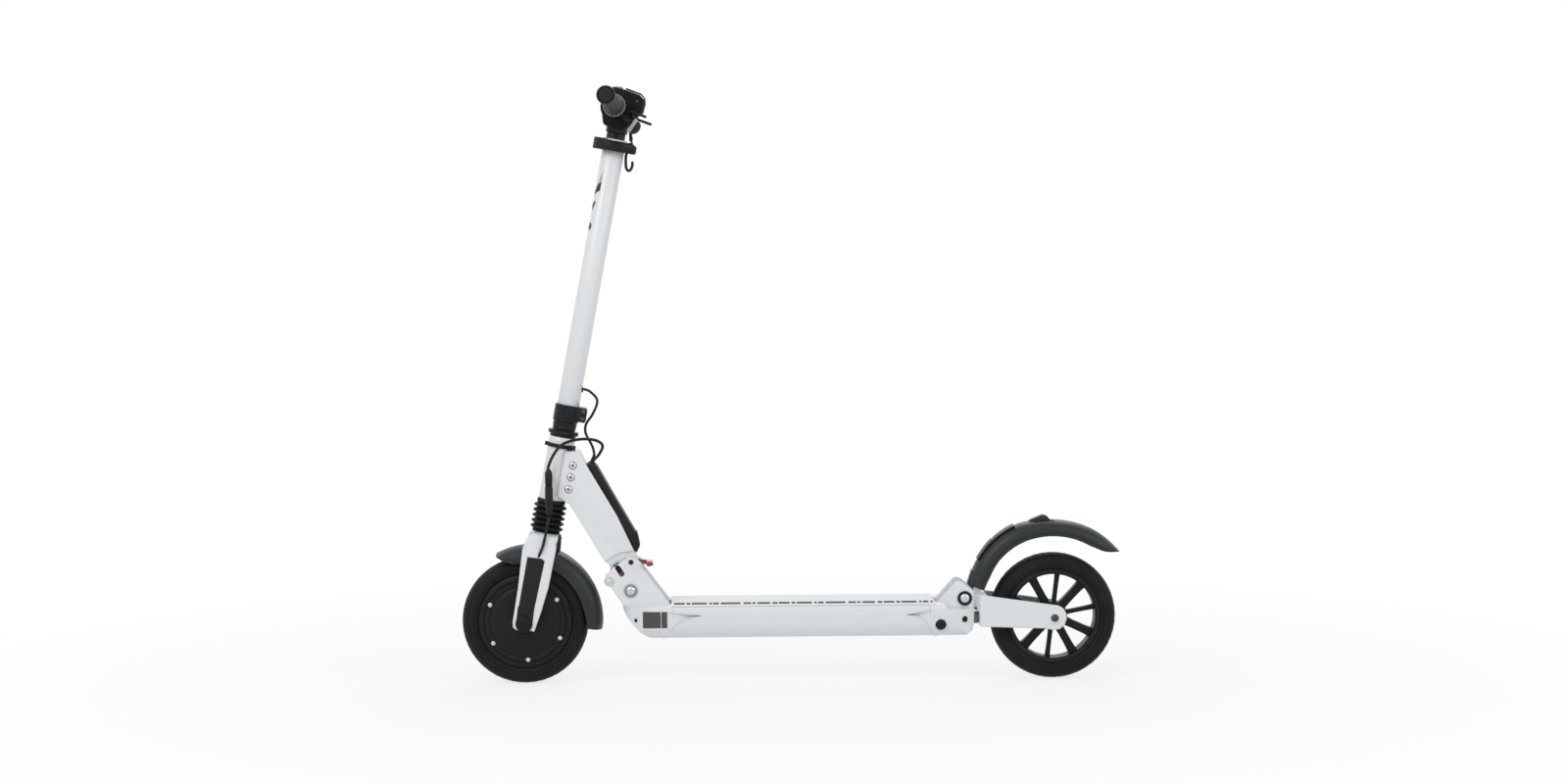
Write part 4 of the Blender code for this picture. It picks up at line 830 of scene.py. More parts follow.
@dataclass
class Tyre:
    """A solid tyre with grooved tread, short sipes and a ribbed sidewall.

    Attributes:
        node: The CAD node that it stands for.
        centre: Middle of the wheel.
        width: Widest place.
        steps: Steps round the wheel.
        sipes: Number of sipes.
        sipe_depth: Their depth.
        sipe_share: Share of the way from one to the next that a sipe takes.
        tread_from: Radius where the tread begins.
        rib_ring: Radii between which the sidewall's short ribs stand.
        rib: How far they stand out.
    """

    node: str
    centre: Vector
    width: float
    steps: int = 288
    sipes: int = 48
    sipe_depth: float = 0.5
    sipe_share: float = 0.34
    tread_from: float = 95.5
    rib_ring: tuple[float, float] = (88.9, 90.9)
    rib: float = 0.4

    def section(self) -> Profile:
        """Return the section from the near bead over the tread to the far bead."""
        side = [(74.1, 0.80), (76.4, 0.88), (78.4, 0.935), (80, 0.965), (80.5, 0.95), (81.3, 0.95),
                (81.8, 0.985), (84, 1.0), (87, 0.995), (88.6, 0.98), (89.2, 0.95), (90.0, 0.95),
                (90.6, 0.962), (93, 0.915), (95.2, 0.84), (96.8, 0.755), (98.2, 0.63), (99.1, 0.5),
                (99.7, 0.35), (99.9, 0.24), (98.7, 0.215), (98.7, 0.155), (100, 0.13)]
        half = self.width / 2
        near = [(r, -half * share) for r, share in side]
        return both_ends(near)

    def tread(self, point: Vector) -> Vector:
        """Press the sipes in and raise the sidewall's short ribs.

        Args:
            point: A point of the plain tyre.

        Returns:
            Its new place.
        """
        out = point - self.centre
        reach = math.hypot(out.x, out.z)
        share = abs(out.y) / (self.width / 2)
        turn = math.degrees(math.atan2(out.z, out.x)) % 360
        if reach > self.tread_from and share > 0.22:
            phase = (turn * self.sipes / 360 + share * 1.1 * math.copysign(1, out.y)) % 1
            if phase < self.sipe_share:
                reach_now = reach - self.sipe_depth
                return self.centre + Vector((out.x * reach_now / reach, out.y, out.z * reach_now / reach))
        if self.rib_ring[0] < reach < self.rib_ring[1] and (turn * self.sipes * 1.5 / 360) % 1 < 0.5:
            return point + Y * math.copysign(self.rib, out.y)
        return point

    def build(self) -> None:
        """Make the tyre."""
        shape = Shape().lathe(self.section(), self.centre, steps=self.steps).warp(self.tread)
        stand_in(shape, self.node, Look.TYRE, smooth=38)


@dataclass
class FrontWheel:
    """The driven wheel: tyre, motor cover with its screws, and the axle's dark caps.

    Attributes:
        rim: Outer radius of the motor's cover.
        screw_seat: Distance from the middle to the screws' seat.
        screw_ring: Radius of the circle of screws.
        screws: Number of screws on each side.
        cap: Distance from the middle to the axle cap's seat.
    """

    rim: float = 74.7
    screw_seat: float = 24.0
    screw_ring: float = 61.2
    screws: int = 6
    cap: float = 54.3

    def cover(self) -> None:
        """Turn the motor's cover, with its rim, flange and domed middle."""
        half = [(self.rim, -20.5), (73.9, -21.8), (72.6, -22.9), (70.0, -23.4), (66.2, -23.6), (65.6, -23.1),
                (65.4, -22.2), (64.2, -22.2), (64.0, -23.6), (63.4, -24.2), (57.9, -24.3), (57.2, -23.9),
                (57.0, -22.9), (55.6, -22.9), (55.4, -24.2), (54.7, -24.8), (48, -25.3), (34, -26.1),
                (22, -26.5), (20.6, -26.5), (20.2, -26.0), (19.2, -26.0), (18.8, -27.0), (8.6, -27),
                (8.6, -22), (65, -18)]
        shape = Shape().lathe(both_ends(half), FRONT_AXLE, steps=160)
        stand_in(shape, "front_motor_shell", Look.HUB_BLACK, smooth=40)

    def screw_heads(self) -> None:
        """Set the silver screws in the flange, each in a small dished seat."""
        shape = Shape()
        for k in range(self.screws):
            at = around(FRONT_AXLE, self.screw_ring, -26 - 360 / self.screws * k)
            for side in SIDES:
                shape.socket_head(at + Y * side * self.screw_seat, Y * side, 2.7, 1.9, 1.25, 0.45)
                shape.washer(at + Y * side * (self.screw_seat + 0.1), Y * side, 2.72, 3.5, 0.5)
        shape.piece("motor_screws", "front_wheel", Look.STEEL, "black_metal")

    def axle(self) -> None:
        """Turn the axle and its two ringed caps."""
        cap = [(0, 4.1), (4.6, 4.1), (5.1, 4.8), (8.2, 4.8), (9.0, 4.3), (9.4, 3.4), (9.8, 3.3), (10.2, 3.7),
               (12.2, 3.2), (13.1, 2.2), (13.5, 1), (13.5, 0), (6, 0)]
        shape = Shape().lathe(bolt(self.cap, cap, [(6, -30), (8, -30)]), FRONT_AXLE, steps=72)
        stand_in(shape, "front_axle", Look.HUB_BLACK)

    def build(self) -> None:
        """Make the whole wheel."""
        Tyre("front_tyre", FRONT_AXLE, 50).build()
        self.cover()
        self.screw_heads()
        self.axle()
        skin("front_stator", Look.COPPER, 0.3)


@dataclass
class Fender:
    """A crowned mudguard bent round a wheel.

    Attributes:
        node: The CAD node that it stands for.
        centre: Middle of the wheel.
        half: Half its width.
        wall: Thickness.
        outer: Radius of its crown at each angle.
        inner: Radius of its side edges at each angle.
        crease: Shares of its height that carry a fine crease.
        steps: Steps along it.
        ring: Inner radius and height of the plain ring that is bent into it.
    """

    node: str
    centre: Vector
    half: float
    wall: float
    outer: Sequence[tuple[float, float]]
    inner: Sequence[tuple[float, float]]
    crease: Sequence[float] = ()
    steps: int = 110
    ring: tuple[float, float] = (100.0, 20.0)

    def section(self) -> Profile:
        """Return the closed section, as pairs of height share and y."""
        crown = [(0.0, 0.985), (0.12, 1.0)]
        for share in self.crease:
            crown += [(share - 0.015, 1.0), (share, 0.972), (share + 0.04, 0.972), (share + 0.055, 1.0)]
        for share, y in ((0.36, 0.995), (0.48, 0.97), (0.6, 0.915), (0.71, 0.83), (0.81, 0.71), (0.89, 0.56),
                         (0.95, 0.38), (0.985, 0.19)):
            if share > crown[-1][0]:
                crown.append((share, y))
        half = [(share, y * self.half) for share, y in crown]
        over = half + [(1.0, 0.0)] + [(share, -y) for share, y in reversed(half)]
        thin = 1 - self.wall / 30
        narrow = 1 - self.wall / self.half
        return over + [(share * thin, y * narrow) for share, y in reversed(over)]

    def bend(self, point: Vector) -> Vector:
        """Give a point of the plain ring its true radius.

        Args:
            point: A point of the ring, whose height share tells where it ends up.

        Returns:
            Its new place.
        """
        out = point - self.centre
        reach = math.hypot(out.x, out.z)
        turn = math.degrees(math.atan2(out.z, out.x))
        share = (reach - self.ring[0]) / self.ring[1]
        low, high = ladder(self.inner, turn), ladder(self.outer, turn)
        return around(self.centre, low + (high - low) * share, turn, out.y)

    def shape(self) -> Shape:
        """Make the mudguard's shell."""
        section = [(self.ring[0] + share * self.ring[1], y) for share, y in self.section()]
        start, end = self.outer[0][0], self.outer[-1][0]
        return Shape().arc(section, self.centre, start, end, self.steps).warp(self.bend)


class FrontFender(Fender):
    """The front mudguard, whose sides reach down beside the tyre, and its strap to the fork."""

    def __init__(self) -> None:
        """Size it from the photograph."""
        super().__init__("front_fender", FRONT_AXLE, 31, 2.4,
                         outer=[(-7, 122.4), (-3, 123.2), (0, 123.3), (60, 123), (93, 120), (105, 117.3),
                                (113, 115.5)],
                         inner=[(-7, 101), (-4, 98.5), (13, 94.8), (31, 94), (60, 94), (92.5, 92),
                                (101, 93.5), (109, 100.5), (113, 112)])

    def build(self) -> None:
        """Make the mudguard, its strap and the strap's screws."""
        strap = steered(S_CROWN, (21.3, 12), (24.3, 12), (26.5, 2), (28, -12), (27.5, -19.5), (21, -19.5),
                        (21.3, -4))
        stand_in(self.shape().prism(strap, -9, 9, soft=0.6), self.node, Look.FENDER, smooth=50)
        seats = [(steer(24.6, S_CROWN + 6, y), STEER_AFT) for y in (-5, 5)]
        screw_set("fender_strap_screws", "fork", Look.DARK_STEEL, "dark_plastic", seats, 2.6, 1.8, 1.2)


@dataclass
class Fork:
    """The leading fork: tapering legs, crown, slider and the dark covers between the prongs.

    Attributes:
        inner: Distance from the middle to a leg's inner face.
        outer: Distance to its outer face.
        gaiter_low: Height of the gaiter's foot along the steering line.
    """

    inner: float = 36.0
    outer: float = 54.0
    gaiter_low: float = 142.4

    def leg(self) -> list[Vector]:
        """Return a leg's outline, which ends in two prongs beside the axle cap."""
        pairs = ((-18.9, 6.2), (-16.5, 9.5), (-11.9, 12.7), (19.1, 9.2), (23.6, 7.6), (25.6, 4.2),
                 (27.6, -9.8))
        top = corners(CROWN, *pairs)
        low = ((39, 57), (27, 18), (17.6, -8), (15.5, -13.5), (11, -11), (-9, -11), (-14, -8.5),
               (-17.6, -6.5), (-18.2, 2), (-8.9, 57))
        return top + corners(FRONT_AXLE, *low) + corners(CROWN, (-25.4, -9.8))

    def panel(self) -> tuple[list[Vector], list[Vector]]:
        """Return the outlines of the raised cover and of the dark sheet below it that runs down to the axle,
        painted shade behind the axle cap.
        """
        top = corners(CROWN, (-17.4, -21.8), (5.6, -24.8), (9.6, -28.8))
        cover = top + corners(FRONT_AXLE, (15.4, 19), (-4, 21.3), (-8.6, 24.5))
        shade_sheet = corners(FRONT_AXLE, (16.4, 24), (13.4, 0), (10, -9), (-9, -9), (-12.8, 0), (-9.3, 28))
        return cover, shade_sheet

    def legs(self) -> None:
        """Cut both legs, with the crown and the slider that enters the head tube."""
        shape = Shape().twins(self.leg(), self.inner, self.outer, soft=2.4, segments=4)
        crown = steered(S_CROWN, (-19, 1), (21, 1), (21, 12), (-19, 12))
        shape.prism(crown, 4 - self.outer, self.outer - 4, soft=1.5, segments=3)
        shape.lathe([(0, 0), (12, 0), (12, S_HEAD + 39 - S_CROWN), (0, S_HEAD + 39 - S_CROWN)],
                    steer(0, S_CROWN + 3), STEER_UP, 48)
        stand_in(shape, "fork", Look.WHITE_PAINT, smooth=40)

    def covers(self) -> None:
        """Lay the black covers, each with four recessed screws, over dark sheets of painted shade behind the
        axle cap.
        """
        for side, tag in zip(SIDES, ("left", "right")):
            cover, shade_sheet = self.panel()
            low, high = sorted((side * (self.outer - 1.7), side * (self.outer + 0.8)))
            shape = Shape().prism(cover, low, high, soft=0.5)
            # the dark sheet under the cover is painted shade round the axle cap, laid just proud of the leg's
            # face
            low, high = sorted((side * (self.outer - 1.7), side * (self.outer + 0.22)))
            shape.prism(shade_sheet, low, high)
            stand_in(shape, "fork_panel_" + tag, Look.CASE)
            screws = Shape()
            for x, z in ((9.9, 98.5), (26.6, 95.6), (-1.8, 26.4), (11.6, 24.2)):
                at = FRONT_AXLE + X * x + Z * z + Y * side * (self.outer + 0.5)
                screws.lathe([(0, 0), (2.1, 0), (2.1, 0.5), (1.5, 0.62), (1.2, 0.2), (0, 0.2)], at, Y * side,
                             20)
            screws.piece("cover_screws_" + tag, "fork", Look.CABLE, "dark_plastic")

    def gaiter(self) -> None:
        """Turn the rubber gaiter, whose ribs close up when the fork goes in."""
        low, high, ribs, root, peak, steps = self.gaiter_low, 194.6, 5, 19.6, 26.2, 12
        outside = []
        for i in range(ribs * steps + 1):
            part = i / steps
            swell = abs(math.sin(math.pi * part))
            outside.append((root + (peak - root) * swell ** 1.1,
                            low + 3.2 + (high - low - 9.5) * part / ribs))
        outside = [(21.6, low), (22.2, low + 0.6), (22.2, low + 2.4)] + outside
        outside += [(22.0, high - 5.6), (22.4, high - 5.0), (22.4, high - 0.6), (21.8, high)]
        inside = [(r - 1.6, h) for r, h in outside]
        shape = Shape().lathe(outside + inside[::-1], steer(0, 0), STEER_UP, 72)
        obj = stand_in(shape, "suspension_gaiter", Look.RUBBER, smooth=50)
        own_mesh(obj)

    def spring(self) -> None:
        """Wind the spring inside the gaiter."""
        points = []
        turns, steps, low, high = 6, 24, 143.6, 193.4
        for i in range(turns * steps + 1):
            angle = math.tau * i / steps
            points.append(steer(15.4 * math.cos(angle), low + (high - low) * i / (turns * steps),
                                15.4 * math.sin(angle)))
        obj = stand_in(Shape().tube(points, 1.2, 12), "suspension_spring", Look.STEEL, smooth=32)
        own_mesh(obj)

    def build(self) -> None:
        """Make the whole fork."""
        self.legs()
        self.covers()
        self.gaiter()
        self.spring()


@dataclass
class Headset:
    """The head tube, its bearings' caps, the neck plate, and the black clamp that holds the stem.

    Attributes:
        radius: Radius of the head tube.
        bolts: Places of the neck's bolts in the steering frame.
        neck_half: Half the neck plate's width.
        relief: Radius round the fold's pivot that is cut away for the pedal.
        ear: Distance from the middle to the collar's ears' outer faces.
    """

    radius: float = 20.7
    bolts: Sequence[tuple[float, float]] = ((24.4, -39.9), (24.3, -59.0), (24.1, -78.4))
    neck_half: float = 24.0
    relief: float = 61.8
    ear: float = 15.5

    def tube(self) -> None:
        """Turn the head tube, with a soft lip at each end and a fine parting groove."""
        low, high, r = S_HEAD + 0.3, S_HEAD_TOP, self.radius
        profile = [(r - 2, low), (r - 0.6, low), (r, low + 0.6), (r, low + 9), (r - 0.35, low + 9.3),
                   (r - 0.35, low + 10), (r, low + 10.3), (r, high - 8.4), (r - 0.35, high - 8.1),
                   (r - 0.35, high - 7.5), (r, high - 7.2), (r, high - 0.6), (r - 0.6, high), (r - 2, high),
                   (r - 2, high - 8), (17.2, high - 8), (17.2, low + 8.3), (r - 2, low + 8.3)]
        stand_in(Shape().post(profile), "head_tube", Look.WHITE_PAINT, smooth=45)
        skin("headset_bearing_lower", Look.BEARING, 0.3)
        skin("headset_bearing_upper", Look.BEARING, 0.3)
        skin("steerer_tube", Look.BLACK_METAL, 0)

    def neck(self) -> None:
        """Shape the neck's plate, hub tongue and skirt, and set its six bolts."""
        plate = steered(S_HEAD_TOP, (8.2, -92.2), (8, -20), (29.6, -16), (42.6, -32.7))
        plate += corners(PIVOT, (-20.1, 116.9), (5.6, 62.2), (-16, 59.4), (-38.8, 42.6), (-94.8, 136.2))
        recess = Shape().lathe([(0, -30), (self.relief, -30), (self.relief, -20.6), (0, -20.6)], PIVOT,
                               steps=120)
        bore = Shape().lathe([(0, -110), (20.9, -110), (20.9, 20), (0, 20)], steer(0, S_HEAD_TOP), STEER_UP)
        shape = Shape().prism(plate, -self.neck_half, self.neck_half, soft=1.6, segments=3)
        shape.carve(recess).carve(bore)
        hub = [around(PIVOT, 24, turn) for turn in range(105, 356, 10)]
        hub += corners(PIVOT, (20, 25), (14, 40), (10.3, 52.8), (5.2, 62.6), (4, 66), (-16.3, 64))
        shape.join(Shape().prism(hub, -19.5, 19.5, soft=0.8).carve(
            Shape().lathe([(0, -30), (6.4, -30), (6.4, 30), (0, 30)], PIVOT)))
        skirt = ((-7, 45.9), (-16, 43.6), (-24, 39.8), (-31.2, 34.4), (-38.6, 46), (-30, 60), (-7, 66))
        shape.prism(corners(PIVOT, *skirt), -20.4, self.neck_half, soft=0.8)
        stand_in(shape, "neck", Look.WHITE_PAINT, smooth=35)
        heads, rings = Shape(), Shape()
        for aft, up in self.bolts:
            for side in SIDES:
                at = steer(aft, S_HEAD_TOP + up, side * self.neck_half)
                rings.washer(at, Y * side, 5.2, 6.3, 0.7)
                rings.lathe([(0, 0.2), (2.5, 0.2), (2.5, 0.9), (0, 0.9)], at, Y * side, 24)
                heads.socket_head(at, Y * side, 5.3, 2.4, 2.8, 0.45)
        heads.piece("neck_bolt_heads", "neck", Look.STEEL, "white_paint")
        rings.piece("neck_bolt_rings", "neck", Look.GREY_METAL, "white_paint")

    def cap(self) -> None:
        """Turn the bearing's cap: a thin flange under a stepped collar."""
        low, high = S_HEAD_TOP + 0.3, S_STEM - 0.3
        profile = [(15.3, low), (20.4, low), (20.4, low + 3.8), (23.3, low + 4.1), (24.0, low + 4.8),
                   (24.0, low + 9.4), (23.3, low + 10.2), (19.2, low + 10.6), (18.2, low + 11.3),
                   (18.2, high - 0.4), (17.8, high), (15.3, high)]
        stand_in(Shape().post(profile), "headset_cap", Look.BLACK_METAL)

    def collar(self) -> None:
        """Turn the split clamp round the stem's foot, with its ears and bolts."""
        low, high = S_STEM + 0.3, S_STEM + 35.5
        profile = [(17.8, low), (18.5, low), (18.8, low + 0.4), (18.8, low + 8.2), (20.0, low + 9.2),
                   (20.4, low + 9.9), (20.4, high - 1), (19.6, high), (17.8, high)]
        shape = Shape().post(profile)
        ears = steered(S_STEM, (13.7, 12.5), (30.6, 12.5), (31.4, 16), (31.4, 31), (29, 35.3), (13.7, 35.3))
        shape.twins(ears, 1.2, self.ear, soft=0.8, segments=3)
        stand_in(shape, "stem_collar", Look.BLACK_METAL)
        seats = both_sides(*steered(S_STEM, (25.6, 18), (25.6, 30)), reach=self.ear)
        screw_set("collar_bolts", "column", Look.DARK_STEEL, "black_metal", seats, 3.3, 2.2, 1.9)

    def band(self) -> None:
        """Wrap the rubber cable band round the head tube, with its lug and buckle."""
        low = S_HEAD_TOP - 17
        profile = [(self.radius + 0.3, low), (self.radius + 2.2, low), (self.radius + 2.7, low + 0.6),
                   (self.radius + 2.7, low + 5.4), (self.radius + 2.2, low + 6), (self.radius + 0.3, low + 6)]
        shape = Shape().post(profile)
        front = -self.radius
        lug = steered(low, (front - 5.2, 0.2), (front - 2.4, 0.2), (front - 2.4, 6.2), (front - 5.2, 6.2))
        shape.prism(lug, -6, 4, soft=0.7)
        buckle = steered(low, (11.6, -1.2), (18.6, -1.5), (19.0, 6.4), (12, 6.6))
        shape.prism(buckle, -self.radius - 3.0, -11, soft=0.9)
        stand_in(shape, "cable_band", Look.RUBBER)

    def build(self) -> None:
        """Make the whole headset."""
        self.tube()
        self.neck()
        self.cap()
        self.collar()
        self.band()


@dataclass
class Controller:
    """The controller's long black box on the back of the neck, with its end clip."""

    half: float = 20.0

    def build(self) -> None:
        """Make the box, the straight back that closes it, its end clip and cable glands."""
        shape = Shape().node("controller_box")
        back = ((-20.0, 139.9), (7.9, 91.4), (12.6, 69.3), (-2, 78), (-30, 132))
        shape.prism(corners(PIVOT, *back), -self.half + 0.4, self.half - 0.4, soft=0.8)
        clip = ((4, 94), (9.9, 91.8), (13.7, 76.3), (14.7, 69), (12.4, 63.4), (4, 67))
        shape.prism(corners(PIVOT, *clip), -14, 14, soft=0.7)
        for y in (-8, 0):
            shape.lathe([(0, -3), (4.2, -3), (4.2, 1.4), (3.5, 2.2), (3.5, 3.2), (0, 3.2)],
                        steer(52 if y == 0 else 55, S_HEAD_TOP - 33.4, y), STEER_UP, 32)
        stand_in(shape, "controller_box", Look.CASE, soft=0.5, smooth=35)


@dataclass
class Stem:
    """The white stem with its decorative dashes, and the sliding black mast.

    Attributes:
        radius: Radius of the stem.
        dashes: Corners of its decorative dashes: turn in degrees and distance under the clamp.
        fade: The same of the paler one.
    """

    radius: float = 17.5
    dashes: Sequence[Profile] = (((182, 81.5), (238, 71.5), (238, 57.5), (217, 62)),
                                 ((184, 97), (204, 104), (223, 92), (216, 88.5)),
                                 ((192, 128), (208, 123), (222, 127), (221, 132), (208, 136.5), (192, 133)))
    fade: Sequence[Profile] = (((217, 61.4), (238, 56.8), (236, 38.5), (230, 45)),)

    def tube(self) -> None:
        """Turn the stem, with a cut for the cable's outlet."""
        low, high, r = S_STEM, S_CLAMP, self.radius
        profile = [(r - 2.1, low), (r - 0.4, low), (r, low + 0.4), (r, high - 0.4), (r - 0.4, high),
                   (r - 2.1, high)]
        shape = Shape().post(profile)
        drill = Shape().lathe([(0, 4), (4, 4), (4, 44), (0, 44)], steer(0, S_STEM + 60),
                              STEER_AFT + STEER_UP * 0.3, 32)
        stand_in(shape.carve(drill), "stem_tube", Look.WHITE_PAINT, smooth=45)
        grommet = [(2.5, 16.4), (5.6, 16.4), (5.9, 17.8), (5.4, 18.9), (2.5, 19.1)]
        Shape().lathe(grommet, steer(0, S_STEM + 59.6), STEER_AFT + STEER_UP * 0.3, 36).piece(
            "cable_grommet", "column", Look.RUBBER, "white_paint", smooth=40)

    def marks(self, dashes: Sequence[Profile], name: str, look: Look) -> None:
        """Lay plain dashes on the stem, bent to its surface.

        Args:
            dashes: Their corners.
            name: The piece's name.
            look: Its finish.
        """
        shape = Shape()
        for dash in dashes:
            shape.prism([Vector((turn, 0, S_CLAMP - down)) for turn, down in dash], 0.0, 0.1)
        bmesh.ops.triangulate(shape.bm, faces=shape.bm.faces)
        bmesh.ops.subdivide_edges(shape.bm, edges=shape.bm.edges, cuts=9, use_grid_fill=True)

        def wrap(point: Vector) -> Vector:
            reach = self.radius + 0.02 + point.y
            turn = math.radians(point.x)
            return steer(reach * math.cos(turn), point.z, reach * math.sin(turn))

        shape.warp(wrap).piece(name, "column", look, "white_paint", smooth=50)

    def mast(self) -> None:
        """Turn the sliding mast and the white ring at the stem's mouth."""
        low, high = S_CLAMP - 310, S_CLAMP + 56
        profile = [(12.6, low), (14.7, low), (15, low + 0.4), (15, high - 0.4), (14.7, high), (12.6, high)]
        sleeve = [(14.9, 22), (16.8, 22), (17.2, 22.5), (17.2, 31), (14.9, 31)]
        shape = Shape().post(profile).lathe(sleeve, steer(0, S_CLAMP), STEER_UP, 72)
        stand_in(shape, "mast_tube", Look.BLACK_METAL, smooth=45)
        ring = [(15.25, S_CLAMP + 9.2), (19.6, S_CLAMP + 9.2), (20.0, S_CLAMP + 9.6), (20.0, S_CLAMP + 11.3),
                (19.4, S_CLAMP + 12.0), (15.25, S_CLAMP + 12.0)]
        Shape().post(ring).piece("mast_ring", "column", Look.WHITE_PAINT, "black_metal", smooth=35)

    def build(self) -> None:
        """Make the stem and mast."""
        self.tube()
        self.marks(self.dashes, "stem_dashes", Look.DARK_PRINT)
        self.marks(self.fade, "stem_fade", Look.PALE_PRINT)
        self.mast()


@dataclass
class Clamp:
    """The quick-release clamp at the top of the stem, with its lever and carry hook."""

    wire: float = 2.35

    def body(self) -> None:
        """Turn the clamp ring and add ears, band grooves, nut and hook."""
        low, high = S_CLAMP - 6, S_CLAMP + 9
        profile = [(17.8, low), (21.9, low), (22.5, low + 0.6), (22.5, low + 3.0), (22.0, low + 3.4),
                   (22.0, low + 4.4), (22.5, low + 4.8), (22.5, high - 0.8), (21.7, high), (16.2, high),
                   (16.2, S_CLAMP + 0.3), (17.8, S_CLAMP + 0.3)]
        shape = Shape().post(profile)
        ears = steered(S_CLAMP, (19, -6), (31, -7), (35.8, -5), (35.5, 5.2), (25.9, 11.2), (19, 9))
        shape.twins(ears, 1.1, 10.7, soft=1.0, segments=3)
        shape.lathe([(0, 0), (3.6, 0), (3.6, 22), (0, 22)], steer(29, S_CLAMP - 1.6, -11), Y, 32)
        shape.lathe([(0, 0), (5.4, 0), (5.4, 3.2), (4.6, 4), (0, 4)], steer(29, S_CLAMP - 1.6, 10.6), Y, 6)
        route = [(21.5, -3), (21.2, -12.2), (23.4, -25), (25.2, -30), (28.6, -33.2), (31.6, -31.6),
                 (33.2, -27.5), (33.5, -22.4), (32.8, -19.2)]
        dense = smooth_path(steered(S_CLAMP, *route), 1.4)
        shape.tube(dense, self.wire, 16)
        tip = [(0, -0.2), (self.wire, -0.2), (self.wire * 0.9, 1.0), (self.wire * 0.5, 1.9), (0, 2.2)]
        shape.lathe(tip, dense[-1], STEER_UP, 24)
        stand_in(shape, "stem_clamp", Look.BLACK_METAL, smooth=32)

    def lever(self) -> None:
        """Shape the long curved lever round the ring, with its finger rest."""
        plan = [(26.8, -12.3), (30, -11), (33.2, -12.3), (34.5, -15.5), (33.2, -18.7), (30, -20), (24, -22.5),
                (17, -25.4), (10, -27.5), (3, -28.5), (-4, -28.5), (-10, -27.2), (-16, -25), (-21, -21.5),
                (-25, -17), (-29, -11), (-32, -5), (-31.2, -3.6), (-29, -3.5), (-25, -9), (-21, -14),
                (-17.2, -18), (-13, -21), (-8, -23.2), (-3, -24), (3, -24.2), (9, -23.3), (15, -21.1),
                (21, -18)]
        shape = Shape().prism(across(*plan), S_CLAMP - 7, S_CLAMP + 7, along=STEER_UP, soft=1.2, segments=3)
        block = ((-10.5, -21.4), (-10.5, -27.6), (-16, -25.8), (-21, -22.4), (-25.6, -17.6), (-29.6, -11.6),
                 (-33.5, -4.8), (-31.2, -3.2), (-28.6, -4), (-24.8, -9.6), (-20.8, -14.6), (-16.8, -18.4))
        shape.prism(across(*block), S_CLAMP - 7.5, S_CLAMP + 11, along=STEER_UP, soft=1.4, segments=3)
        rest = across((-31.9, -5.6), (-26.4, -14.9), (-24.4, -13.6), (-29.4, -4.4))
        for up in (-4.6, -1.6, 1.4):
            shape.prism(rest, S_CLAMP + up - 0.5, S_CLAMP + up + 0.5, along=STEER_UP)
        shape.lathe([(0, -4.6), (3.4, -4.6), (3.4, 6.4), (2.8, 7.2), (0, 7.2)],
                    steer(30, S_CLAMP - 1.9, -15.5), STEER_UP, 32)
        stand_in(shape, "quick_release_lever", Look.BLACK_METAL, smooth=32)

    def build(self) -> None:
        """Make the clamp."""
        self.body()
        self.lever()


